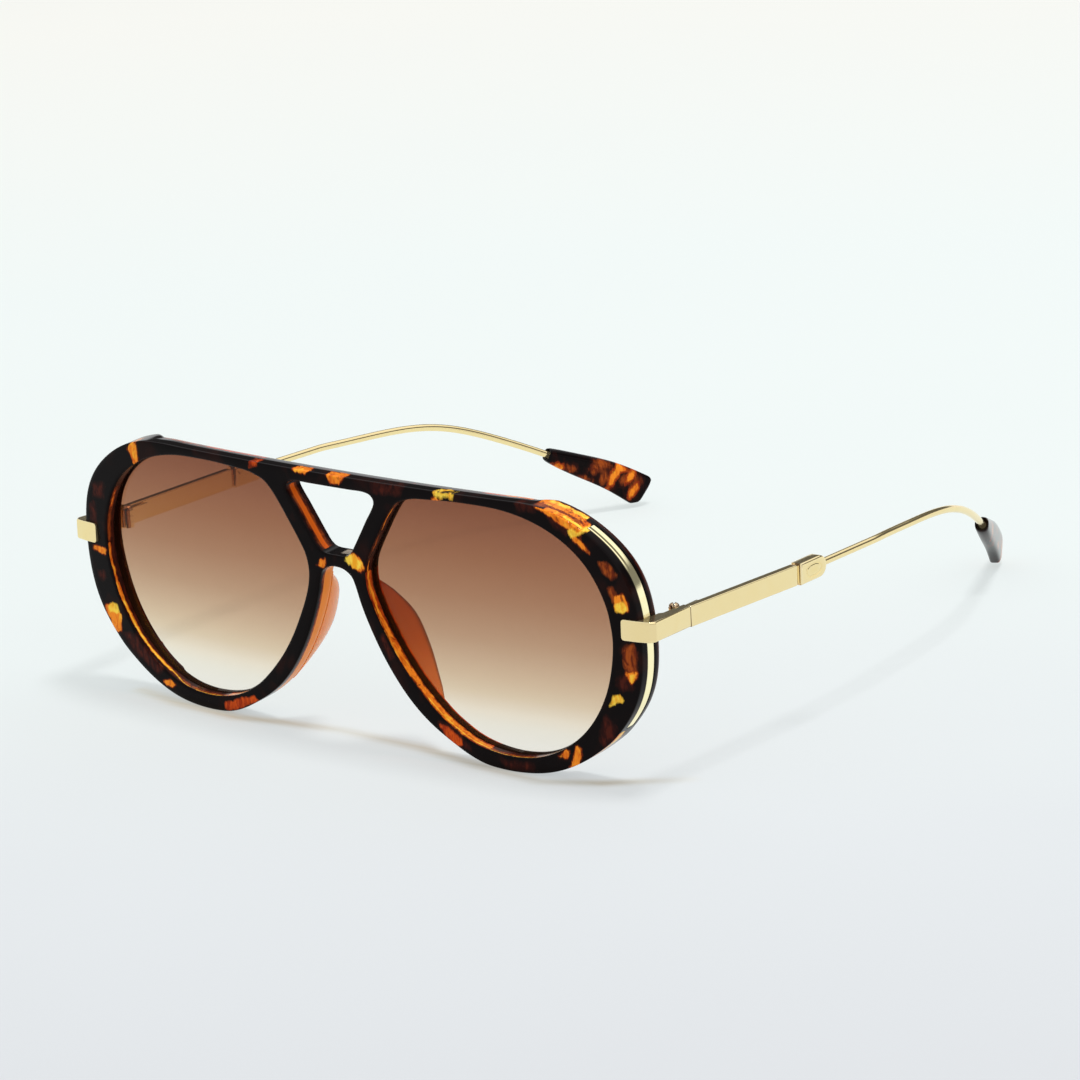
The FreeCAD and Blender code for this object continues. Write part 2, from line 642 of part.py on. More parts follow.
def make_front_leaf(side_name, side):
    """Plate and two knuckles, with a gap between them for the temple's knuckle."""
    body = new_body("hinge_front_leaf_" + side_name)
    sketch = new_sketch(body, "front_leaf_plan_" + side_name, "XY_Plane")
    leaf_plan(sketch, side, FRONT_LEAF_END)
    pad(body, sketch, HINGE_HEIGHT, "front_leaf_pad_" + side_name,
        bound="sizes.hinge_high - sizes.hinge_low")

    gap_low = size("knuckle_low") - size("knuckle_gap") - size("hinge_low")
    gap_height = KNUCKLE_HEIGHT + 2 * size("knuckle_gap")
    gap_left = -1.6 if side > 0 else -1.4        # clear of the knuckle on both sides
    sketch = new_sketch(body, "front_leaf_gap_outline_" + side_name, "XZ_Plane")
    rectangle(sketch, gap_left, gap_low, gap_left + 3.0, gap_low + gap_height, {
        "low": "sizes.knuckle_low - sizes.knuckle_gap - sizes.hinge_low",
        "height": "sizes.knuckle_high - sizes.knuckle_low + 2 * sizes.knuckle_gap"})
    pocket(body, sketch, "front_leaf_gap_" + side_name, 2.5)
    screw_hole(body, "front_leaf_hole_" + side_name, 0.7)
    place_on_hinge(body, side, "hinge_low")
    return body


def make_temple_leaf(side_name, side):
    """One knuckle between the front leaf's two, and a taller plate on the bar."""
    body = new_body("hinge_temple_leaf_" + side_name)
    sketch = new_sketch(body, "temple_leaf_plan_" + side_name, "XY_Plane")
    leaf_plan(sketch, side, TEMPLE_LEAF_END)
    pad(body, sketch, KNUCKLE_HEIGHT, "temple_leaf_pad_" + side_name,
        bound="sizes.knuckle_high - sizes.knuckle_low")

    sketch = new_sketch(body, "temple_leaf_plate_outline_" + side_name, "XY_Plane",
                        offset=size("hinge_low") - size("knuckle_low") + TEMPLE_PLATE_LIFT)
    left, right = sorted((side * LEAF_INNER, side * LEAF_OUTER))
    rectangle(sketch, left, TEMPLE_PLATE_START, right, TEMPLE_LEAF_END,
              {"width": "sizes.leaf_thick"})
    pad(body, sketch, HINGE_HEIGHT - TEMPLE_PLATE_SHORT, "temple_leaf_plate_" + side_name,
        bound="sizes.hinge_high - sizes.hinge_low - %g" % TEMPLE_PLATE_SHORT)
    screw_hole(body, "temple_leaf_hole_" + side_name, 1.0)
    place_on_hinge(body, side, "knuckle_low")
    return body


def make_hinge_screw(side_name, side):
    """Shank, domed head and a driver slot."""
    shank, head = size("screw_radius"), size("screw_head_radius")
    head_height = size("screw_head_high")
    foot = 0.15
    head_foot = HINGE_HEIGHT + 0.02
    rim = head_foot + 0.45 * head_height
    top = head_foot + head_height
    body = new_body("hinge_screw_" + side_name)
    sketch = new_sketch(body, "hinge_screw_half_" + side_name, "XZ_Plane")
    profile = [(0, foot), (shank, foot), (shank, head_foot), (head, head_foot), (head, rim)]
    dome = Part.Arc(Vector(head, rim, 0),
                    Vector(head * 0.72, top - 0.12 * head_height, 0),
                    Vector(0, top, 0))
    draw(sketch, [line(a, b) for a, b in zip(profile, profile[1:])]
         + [dome, line((0, top), (0, foot))])
    revolve(body, sketch, "hinge_screw_turned_" + side_name)

    slot_half = 0.16
    sketch = new_sketch(body, "hinge_screw_slot_outline_" + side_name, "XZ_Plane")
    rectangle(sketch, -slot_half, top - 0.4, slot_half, top + 0.5, {})
    pocket(body, sketch, "hinge_screw_slot_" + side_name, 4.0)
    place_on_hinge(body, side, "hinge_low", Rotation(Vector(0, 0, 1), 35 * side))
    return body


# ---------------------------------------------------------------- temples
# Points of the left temple: (x, y behind the bridge's front foot, z).
BAR_START = (70.13, 15.75, 31.42)
BAR_END = (71.1, 48.25, 30.5)
FERRULE_START = (71.12, BAR_END[1] + size("neck_length"), BAR_END[2])
FERRULE_AIM = (71.0, 57.3, 30.4)                 # a point the ferrule's axis runs through
WIRE_START = (71.12, 52.2, 30.55)
WIRE_BEND = (70.33, 75.0, 29.88)                 # end of the wire's straight run
# middle line of the tip
TIP_RUN = [(56.3, 133.8, 15.35), (53.1, 140.2, 11.6), (49.75, 146.9, 7.55), (46.4, 153.6, 2.12)]
# curved run of the wire, ending inside the tip
WIRE_RUN = [
    WIRE_BEND, (69.72, 80.4, 29.6), (68.62, 89.9, 29.0), (67.35, 99.5, 28.2),
    (66.0, 107.3, 26.9), (64.2, 114.6, 24.7), (61.85, 121.5, 21.75),
    (59.1, 127.9, 18.55)] + TIP_RUN[:3]
# how far the wire and its room run from the second to the third point of the tip
WIRE_END_SHARE = 0.55
ROOM_END_SHARE = 0.60
NECK_GAP = 0.01                                  # between neck and bar
OVAL_Y = 4.0                                     # middle of the oval along the ferrule
OVAL_RADII = ((2.55, 1.35), (2.25, 1.05))        # outer and inner edge of the oval line
TIP_STEPS = 8
COLLAR_HEIGHT, COLLAR_THICK = 2.7, 2.9           # the tip where the wire enters it


def on_temple(point, side):
    x, y, z = point
    return Vector(side * x, y, z) + ORIGIN_SHIFT


def lay_along(body, side, start, aim):
    """Puts the body's origin at start and points its y axis at aim."""
    start, aim = on_temple(start, side), on_temple(aim, side)
    body.Placement = Placement(start, Rotation(Vector(0, 1, 0), aim - start))


def make_bar(side_name, side):
    """A rounded rectangle drawn out to its length."""
    body = new_body("temple_bar_" + side_name)
    sketch = new_sketch(body, "bar_section_" + side_name, "XZ_Plane")
    centred_rectangle(sketch, "bar_thick", "bar_height")
    base = pad(body, sketch, size("bar_length"), "bar_pad_" + side_name, reverse=True,
               bound="sizes.bar_length")
    fillet(body, base, "bar_edges_" + side_name, 0.22,
           lambda edge: abs((edge.Vertexes[-1].Point - edge.Vertexes[0].Point).y) > 10)
    lay_along(body, side, BAR_START, BAR_END)
    return body


def make_ferrule_blank(side_name, side):
    """Bullet outline seen from the side, with a short neck to the bar."""
    length, thick = size("ferrule_length"), size("ferrule_thick")
    radius = size("ferrule_height") / 2
    round_y = length - radius
    body = new_body("temple_ferrule_blank_" + side_name)
    sketch = new_sketch(body, "ferrule_side_" + side_name, "YZ_Plane")
    loop(sketch, [
        line((0, -radius), (round_y, -radius)),
        Part.ArcOfCircle(circle_at(round_y, 0, radius), -math.pi / 2, math.pi / 2),
        line((round_y, radius), (0, radius)),
        line((0, radius), (0, -radius))])
    base = pad(body, sketch, thick, "ferrule_pad_" + side_name, symmetric=True,
               bound="sizes.ferrule_thick")

    def on_side_face(edge):
        middle = edge.CenterOfMass
        return abs(abs(middle.x) - thick / 2) < 1e-3 and middle.y > 0.5

    fillet(body, base, "ferrule_edges_" + side_name, 0.45, on_side_face)

    sketch = new_sketch(body, "ferrule_neck_outline_" + side_name, "XZ_Plane")
    centred_rectangle(sketch, "neck_thick", "neck_height")
    pad(body, sketch, size("neck_length") - NECK_GAP, "ferrule_neck_" + side_name,
        bound="sizes.neck_length - %g" % NECK_GAP)

    # an engraved plain oval line on the outer side
    sketch = new_sketch(body, "ferrule_oval_outline_" + side_name, "YZ_Plane",
                        offset=(thick / 2) * side)
    draw(sketch, [Part.Ellipse(Vector(OVAL_Y, 0, 0), long, short) for long, short in OVAL_RADII])
    pocket(body, sketch, "ferrule_oval_" + side_name, 0.12)
    lay_along(body, side, FERRULE_START, FERRULE_AIM)
    return body


def wire_path(side, end_share):
    """The straight run, then the curved run into the tip."""
    start = on_temple(WIRE_START, side)
    points = [on_temple(point, side) for point in WIRE_RUN]
    direction = points[0] - start
    direction.normalize()
    curve = Part.BSplineCurve()
    curve.interpolate(Points=points, InitialTangent=direction * 7.0,
                      FinalTangent=points[-1] - points[-2])
    end = curve.parameter(points[-2] + (points[-1] - points[-2]) * end_share)
    return Part.Wire([Part.makeLine(start, points[0]), curve.toShape(curve.FirstParameter, end)])


def sweep_wire(label, side, end_share, radius, radius_bound):
    start, bend = on_temple(WIRE_START, side), on_temple(WIRE_BEND, side)
    spine = doc.addObject("Part::Feature", label + "_path")
    spine.Shape = wire_path(side, end_share)
    ring = doc.addObject("Part::Circle", label + "_section")
    ring.Radius = radius
    ring.Placement = Placement(start, Rotation(Vector(0, 0, 1), bend - start))
    ring.setExpression("Radius", radius_bound)
    sweep = doc.addObject("Part::Sweep", label)
    sweep.Sections = [ring]
    sweep.Spine = (spine, ["Edge1", "Edge2"])
    sweep.Solid = True
    sweep.Frenet = False
    doc.recompute()
    return sweep


def tip_section(curve, share):
    """Rounded rectangle across the tip, at a share of its length."""
    first, last = curve.FirstParameter, curve.LastParameter
    place = first + (last - first) * share
    direction = curve.tangent(place)[0]
    up = Vector(0, 0, 1) - direction * direction.z
    up.normalize()
    across = direction.cross(up)
    across.normalize()
    growth = min(1.0, share * 1.04) ** 0.65
    half_height = (COLLAR_HEIGHT + (size("tip_height") - COLLAR_HEIGHT) * growth) / 2
    half_thick = (COLLAR_THICK + (size("tip_thick") - COLLAR_THICK) * share) / 2
    # the blade grows more above the wire than below it
    middle = curve.value(place) + up * (0.95 * share ** 1.5)
    corner = min(half_height, half_thick) * (0.62 - 0.22 * share)
    points = []
    for x_sign, z_sign, first_angle in ((1, 1, 0), (-1, 1, 90), (-1, -1, 180), (1, -1, 270)):
        for step in range(5):
            angle = math.radians(first_angle + 90 * step / 4.0)
            x = x_sign * (half_thick - corner) + corner * math.cos(angle)
            z = z_sign * (half_height - corner) + corner * math.sin(angle)
            points.append(middle + across * x + up * z)
    return Part.makePolygon(points + [points[0]])


def make_tip_blank(side_name, side):
    """A rounded collar growing into a flat blade."""
    curve = Part.BSplineCurve()
    curve.interpolate(Points=[on_temple(point, side) for point in TIP_RUN])
    sections = [tip_section(curve, i / TIP_STEPS) for i in range(TIP_STEPS + 1)]
    blank = doc.addObject("Part::Feature", "temple_tip_blank_" + side_name)
    blank.Shape = Part.makeLoft(sections, True, False)
    return blank


def make_temple(side_name, side):
    """Adds bar, wire, ferrule and tip; the last two are bored for the wire."""
    pieces["temple_bar_" + side_name] = make_bar(side_name, side)
    ferrule_blank = make_ferrule_blank(side_name, side)
    radius = size("wire_radius")
    name = "temple_wire_" + side_name
    pieces[name] = sweep_wire(name, side, WIRE_END_SHARE, radius, "sizes.wire_radius")
    room = sweep_wire("temple_wire_room_" + side_name, side, ROOM_END_SHARE,
                      radius + size("wire_play"), "sizes.wire_radius + sizes.wire_play")
    name = "temple_ferrule_" + side_name
    pieces[name] = cut(name, ferrule_blank, room)
    name = "temple_tip_" + side_name
    pieces[name] = cut(name, make_tip_blank(side_name, side), room)


# ---------------------------------------------------------------- the glasses
pieces = {}              # file name: object
front = make_front_sheet()
front_tools = []
strip_blanks = {}
for side_name, side in SIDES:
    pieces["lens_" + side_name], lens_groove = make_lens(side_name, side)
    strip_blanks[side_name], strip_groove = make_strip(side_name, side)
    front_tools += [lens_groove, strip_groove]
for side_name, side in SIDES:
    front_tools += make_endpiece(side_name, side, strip_blanks[side_name])
for tool in front_tools[:-1]:
    front = cut("front_after_" + tool.Label, front, tool)
pieces["front_frame"] = cut("front_frame", front, front_tools[-1])

for side_name, side in SIDES:
    pieces["nose_pad_" + side_name] = make_nose_pad(side_name, side)
for side_name, side in SIDES:
    pieces["hinge_front_leaf_" + side_name] = make_front_leaf(side_name, side)
    pieces["hinge_temple_leaf_" + side_name] = make_temple_leaf(side_name, side)
    pieces["hinge_screw_" + side_name] = make_hinge_screw(side_name, side)
for side_name, side in SIDES:
    make_temple(side_name, side)
doc.recompute()

# ---------------------------------------------------------------- checks and output
faults = ["%s state %s" % (item.Label, item.State) for item in doc.Objects
          if "Invalid" in item.State or "Error" in item.State]
for name, piece in pieces.items():
    if piece.Label != name:
        faults.append("%s is labelled %s" % (name, piece.Label))
    if piece.Shape.isNull() or not piece.Shape.isValid():
        faults.append("%s has no valid shape" % name)
    elif len(piece.Shape.Solids) != 1:
        faults.append("%s has %d solids" % (name, len(piece.Shape.Solids)))
if faults:
    raise RuntimeError("; ".join(faults))
for name, piece in pieces.items():
    piece.Shape.exportStep("parts/%s.step" % name)
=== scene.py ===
# A pair of sunglasses: a tortoise acetate front with gradient lenses, gold strips let into its
# sides and amber nose pads, gold endpieces, and temples of a bar, a ferrule, a wire and a tip.
# X runs across with the wearer's left at +X, Y runs back along the temples, Z is up.
# The front faces -Y. Sizes are in millimetres and are turned into metres by MM.
import math
import random

import bmesh
import bpy
import mathutils
import numpy as np
from mathutils import Matrix, Vector


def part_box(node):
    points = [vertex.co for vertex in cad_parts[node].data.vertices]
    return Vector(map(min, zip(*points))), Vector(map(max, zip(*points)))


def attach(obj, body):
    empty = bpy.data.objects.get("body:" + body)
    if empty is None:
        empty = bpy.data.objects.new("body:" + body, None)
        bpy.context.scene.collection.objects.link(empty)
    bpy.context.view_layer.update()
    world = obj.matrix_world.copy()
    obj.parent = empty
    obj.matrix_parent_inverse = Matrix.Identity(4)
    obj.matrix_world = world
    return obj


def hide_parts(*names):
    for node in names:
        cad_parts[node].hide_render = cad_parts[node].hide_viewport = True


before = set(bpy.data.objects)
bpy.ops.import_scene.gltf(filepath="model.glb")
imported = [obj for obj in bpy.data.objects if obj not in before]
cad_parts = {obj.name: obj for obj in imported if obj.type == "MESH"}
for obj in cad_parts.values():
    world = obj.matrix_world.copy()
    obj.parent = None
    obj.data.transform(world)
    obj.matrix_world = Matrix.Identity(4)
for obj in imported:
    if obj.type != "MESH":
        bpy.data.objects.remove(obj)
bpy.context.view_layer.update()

random.seed(11)
MM = 0.001
scene = bpy.context.scene
SIDES = (("left", 1), ("right", -1))

# ------------------------------------------------------------------ the front's own space
# A place on the front is an arc across it, a height, and a depth behind its front face.
BEND_RADIUS = 583.0
LEAN = math.radians(2.47)                  # the top leans forward
COS_LEAN, SIN_LEAN = math.cos(LEAN), math.sin(LEAN)
BROW_TOP = 54.0
BROW_THICK, WING_THICK = 4.6, 6.1
WING_START, WING_END = 46.9, 49.6          # arcs between which the thickness grows
cad_front_low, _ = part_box("front_frame")
FRONT_AHEAD = -cad_front_low.y * 1000.0 - BROW_TOP * SIN_LEAN   # foot's distance before the origin


def smooth_step(x, start=0.0, end=1.0):
    t = np.clip((x - start) / (end - start), 0, 1)
    return t * t * (3 - 2 * t)


def thickness_at(arc):
    grown = np.clip((abs(arc) - WING_START) / (WING_END - WING_START), 0, 1)
    return BROW_THICK + (WING_THICK - BROW_THICK) * grown


def front_point(arc, height, depth):
    x = BEND_RADIUS * math.sin(arc / BEND_RADIUS)
    y = BEND_RADIUS - math.sqrt((BEND_RADIUS - depth) ** 2 - x * x)
    return Vector((x, y * COS_LEAN - height * SIN_LEAN - FRONT_AHEAD,
                   y * SIN_LEAN + height * COS_LEAN)) * MM


def front_coordinates(obj):
    """(arc, height) pairs and depths of all vertices: front_point undone."""
    flat = np.empty(len(obj.data.vertices) * 3, np.float32)
    obj.data.vertices.foreach_get("co", flat)
    x, y, z = (flat.reshape(-1, 3).astype(float) * 1000.0).T
    y = y + FRONT_AHEAD
    y_upright, height = y * COS_LEAN + z * SIN_LEAN, -y * SIN_LEAN + z * COS_LEAN
    arc = BEND_RADIUS * np.arcsin(np.clip(x / BEND_RADIUS, -1, 1))
    depth = BEND_RADIUS - np.hypot(x, BEND_RADIUS - y_upright)
    return np.stack([arc, height], 1), depth


# ------------------------------------------------------------------ curves and loops
def between(t, t_a, t_b, a, b):
    return (t_b - t) / (t_b - t_a) * a + (t - t_a) / (t_b - t_a) * b


def spline(points, step, closed):
    """Centripetal Catmull-Rom through the points, resampled to an even step."""
    pts = [np.array(p, float) for p in points]
    n = len(pts)
    dense = []
    for i in range(n if closed else n - 1):
        if closed:
            p0, p1, p2, p3 = pts[i - 1], pts[i], pts[(i + 1) % n], pts[(i + 2) % n]
        else:
            p1, p2 = pts[i], pts[i + 1]
            p0 = pts[i - 1] if i else 2 * p1 - p2
            p3 = pts[i + 2] if i + 2 < n else 2 * p2 - p1
        t1 = max(1e-6, np.linalg.norm(p1 - p0)) ** 0.5
        t2 = t1 + max(1e-6, np.linalg.norm(p2 - p1)) ** 0.5
        t3 = t2 + max(1e-6, np.linalg.norm(p3 - p2)) ** 0.5
        for k in range(16):
            t = t1 + (t2 - t1) * k / 16.0
            a1 = between(t, 0.0, t1, p0, p1)
            a2 = between(t, t1, t2, p1, p2)
            a3 = between(t, t2, t3, p2, p3)
            b1 = between(t, 0.0, t2, a1, a2)
            b2 = between(t, t1, t3, a2, a3)
            dense.append(between(t, t1, t2, b1, b2))
    dense.append(dense[0] if closed else pts[-1])
    dense = np.array(dense)
    lengths = np.linalg.norm(np.diff(dense, axis=0), axis=1)
    travelled = np.concatenate([[0], np.cumsum(lengths)])
    total = travelled[-1]
    wanted = np.linspace(0, total, max(8, int(round(total / step))) + 1)
    even = np.stack([np.interp(wanted, travelled, column) for column in dense.T], 1)
    return even[:-1] if closed else even


def cubic_spline(points, step, start_dir=None):
    """C2 cubic with chord-length knots; its start may be held to a direction."""
    P = np.array(points, float)
    h = np.linalg.norm(np.diff(P, axis=0), axis=1)
    knots = np.concatenate([[0], np.cumsum(h)])
    n = len(P)
    A = np.zeros((n, n))
    B = np.zeros_like(P)
    if start_dir is not None:
        A[0, 0], A[0, 1] = 2 * h[0], h[0]
        B[0] = 6 * ((P[1] - P[0]) / h[0] - start_dir)
    else:
        A[0, 0] = 1
    A[-1, -1] = 1
    for i in range(1, n - 1):
        A[i, i - 1], A[i, i], A[i, i + 1] = h[i - 1], 2 * (h[i - 1] + h[i]), h[i]
        B[i] = 6 * ((P[i + 1] - P[i]) / h[i] - (P[i] - P[i - 1]) / h[i - 1])
    bend = np.linalg.solve(A, B)           # second derivatives at the knots
    out = []
    for t in np.linspace(0, knots[-1], int(round(knots[-1] / step)) + 1):
        i = min(n - 2, max(0, int(np.searchsorted(knots, t, side="right")) - 1))
        a, b = knots[i + 1] - t, t - knots[i]
        out.append((bend[i] * a ** 3 + bend[i + 1] * b ** 3) / (6 * h[i])
                   + (P[i] / h[i] - bend[i] * h[i] / 6) * a
                   + (P[i + 1] / h[i] - bend[i + 1] * h[i] / 6) * b)
    return np.array(out)


def loop_normals(loop):
    """Unit normals to the left of the running direction."""
    d = np.roll(loop, -1, 0) - np.roll(loop, 1, 0)
    d /= np.linalg.norm(d, axis=1)[:, None]
    return np.stack([-d[:, 1], d[:, 0]], 1)


def oriented(loop, counter_clockwise):
    after = np.roll(loop, -1, 0)
    area = 0.5 * np.sum(loop[:, 0] * after[:, 1] - after[:, 0] * loop[:, 1])
    return loop if (area > 0) == counter_clockwise else loop[::-1]


def inside(loop, points):
    """Which of the points are inside the closed loop."""
    x, y = points[:, 0], points[:, 1]
    result = np.zeros(len(points), bool)
    for (x1, y1), (x2, y2) in zip(loop, np.roll(loop, -1, 0)):
        crossed = (y1 > y) != (y2 > y)
        if crossed.any():
            t = (y - y1) / (y2 - y1)
            result ^= crossed & (x < x1 + t * (x2 - x1))
    return result


def in_region(outer, holes, points):
    result = inside(outer, points)
    for hole in holes:
        result &= ~inside(hole, points)
    return result


def dist_to_loop(points, loop):
    nearest = np.full(len(points), 1e9)
    for a, b in zip(loop, np.roll(loop, -1, 0)):
        ab = b - a
        t = np.clip(((points - a) @ ab) / max(1e-12, ab @ ab), 0, 1)
        nearest = np.minimum(nearest, np.linalg.norm(points - (a + t[:, None] * ab), axis=1))
    return nearest


# ------------------------------------------------------------------ faces and objects
def bands(starts, count, order=(0, 1, 2, 3)):
    """Quads between neighbouring rings of count vertices, rings given by their first index."""
    faces = []
    for a, b in zip(starts, starts[1:]):
        for i in range(count):
            j = (i + 1) % count
            corners = (a + i, a + j, b + j, b + i)
            faces.append(tuple(corners[k] for k in order))
    return faces


def cap(first, count):
    return tuple(range(first, first + count))


def prism(starts, count):
    """Bands closed by a face at either end."""
    return bands(starts, count) + [cap(starts[0], count)[::-1], cap(starts[-1], count)]


def fill_faces(points, edges, outer, holes, front_ids, back_ids):
    """Constrained triangles over a flat region, once for the front face and once for the back."""
    result = mathutils.geometry.delaunay_2d_cdt(points, edges, [], 0, 1e-6)
    places, triangles = result[0], result[2]
    origin = [o[0] if o else None for o in result[3]]
    centres = np.array([[sum(places[i][k] for i in t) / 3.0 for k in (0, 1)] for t in triangles])
    faces = []
    for triangle, wanted in zip(triangles, in_region(outer, holes, centres)):
        if wanted and all(origin[i] is not None for i in triangle):
            a, b, c = (origin[i] for i in triangle)
            faces.append((front_ids[a], front_ids[b], front_ids[c]))
            faces.append((back_ids[c], back_ids[b], back_ids[a]))
    return faces


def add_part(name, verts, faces, material, body, node, sharp, merge=None, bevel=None):
    """A smooth-shaded object in place of a CAD piece.

    sharp: angle in degrees above which edges stay sharp; merge: distance in metres;
    bevel: (width in mm, smallest edge angle in degrees), rounded in the mesh itself."""
    mesh = bpy.data.meshes.new(name)
    mesh.from_pydata([tuple(v) for v in verts], [], faces)
    bm = bmesh.new()
    bm.from_mesh(mesh)
    if bevel:
        width, angle = bevel
        bmesh.ops.recalc_face_normals(bm, faces=bm.faces)
        edges = [e for e in bm.edges
                 if len(e.link_faces) == 2 and e.calc_face_angle(0) > math.radians(angle)]
        bmesh.ops.bevel(bm, geom=edges, offset=width * MM, offset_type="OFFSET", segments=3,
                        profile=0.5, affect="EDGES", clamp_overlap=True)
    else:
        if merge:
            bmesh.ops.remove_doubles(bm, verts=bm.verts, dist=merge)
        bmesh.ops.dissolve_degenerate(bm, edges=bm.edges, dist=1e-8)
    bmesh.ops.recalc_face_normals(bm, faces=bm.faces)
    bm.to_mesh(mesh)
    bm.free()
    mesh.polygons.foreach_set("use_smooth", [True] * len(mesh.polygons))
    mesh.set_sharp_from_angle(angle=math.radians(sharp))
    mesh.materials.append(material)
    obj = bpy.data.objects.new(name, mesh)
    scene.collection.objects.link(obj)
    if bevel:
        obj.modifiers.new("weighted", "WEIGHTED_NORMAL").keep_sharp = True
    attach(obj, body)
    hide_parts(node)
    return obj


def write_colours(mesh, name, rgba):
    layer = mesh.color_attributes.new(name, "FLOAT_COLOR", "POINT")
    layer.data.foreach_set("color", np.asarray(rgba, np.float32).ravel())


def write_values(mesh, name, values):
    mesh.attributes.new(name, "FLOAT", "POINT").data.foreach_set("value", values)


# ------------------------------------------------------------------ shader building
class ShaderTree:
    """A node tree emptied down to its output, with short ways to add nodes."""

    def __init__(self, owner, output):
        owner.use_nodes = True
        self.tree = owner.node_tree
        self.tree.nodes.clear()
        self.output = self.tree.nodes.new(output)

    def feed(self, socket, value):
        if isinstance(value, (int, float, tuple)):
            if socket.type == "RGBA":
                value = (*value, 1.0)
            socket.default_value = value
        else:
            self.tree.links.new(value, socket)

    def node(self, kind, inputs=None, **settings):
        node = self.tree.nodes.new("ShaderNode" + kind)
        for key, value in settings.items():
            setattr(node, key, value)
        for key, value in (inputs or {}).items():
            self.feed(node.inputs[key], value)
        return node

    def out(self, kind, inputs=None, **settings):
        return self.node(kind, inputs, **settings).outputs[0]

    def surface(self, shader):
        self.feed(self.output.inputs["Surface"], shader)

    def coords(self):
        return self.node("TexCoord").outputs["Object"]

    def attribute(self, name, output="Color"):
        return self.node("Attribute", attribute_name=name).outputs[output]

    def split_colour(self, colour):
        return self.node("SeparateColor", {"Color": colour}).outputs

    def split_xyz(self, vector):
        return self.node("SeparateXYZ", {0: vector}).outputs

    def calc(self, operation, *values, clamp=False):
        return self.out("Math", dict(enumerate(values)), operation=operation, use_clamp=clamp)

    def plus(self, a, b, clamp=False):
        return self.calc("ADD", a, b, clamp=clamp)

    def minus(self, a, b, clamp=False):
        return self.calc("SUBTRACT", a, b, clamp=clamp)

    def times(self, a, b, clamp=False):
        return self.calc("MULTIPLY", a, b, clamp=clamp)

    def slope(self, x, gain, offset, clamp=True):
        return self.calc("MULTIPLY_ADD", x, gain, offset, clamp=clamp)

    def swing(self, noise, amount, centre=0.5):
        """A noise shifted to lie about zero and scaled."""
        return self.times(self.minus(noise, centre), amount)

    def mix(self, factor, a, b):
        return self.node("Mix", {0: factor, 6: a, 7: b}, data_type="RGBA").outputs[2]

    def mix_shader(self, factor, a, b):
        return self.out("MixShader", {0: factor, 1: a, 2: b})

    def noise(self, vector, scale, detail=3.0, rough=0.5, distortion=0.0):
        return self.node("TexNoise", {"Scale": scale, "Detail": detail, "Roughness": rough,
                                      "Distortion": distortion, "Vector": vector}).outputs["Fac"]

    def ramp(self, factor, stops):
        node = self.node("ValToRGB", {"Fac": factor})
        elements = node.color_ramp.elements
        while len(elements) < len(stops):
            elements.new(0.5)
        for element, (position, colour) in zip(elements, stops):
            element.position = position
            element.color = (*colour, 1.0)
        return node.outputs["Color"]

    def mask(self, factor, low, high):
        """Black below low, white above high."""
        return self.ramp(factor, [(low, (0, 0, 0)), (high, (1, 1, 1))])

    def bump(self, height, strength, distance):
        return self.node("Bump", {"Strength": strength, "Distance": distance,
                                  "Height": height}).outputs["Normal"]


def new_material(name):
    material = bpy.data.materials.new(name)
    return material, ShaderTree(material, "ShaderNodeOutputMaterial")


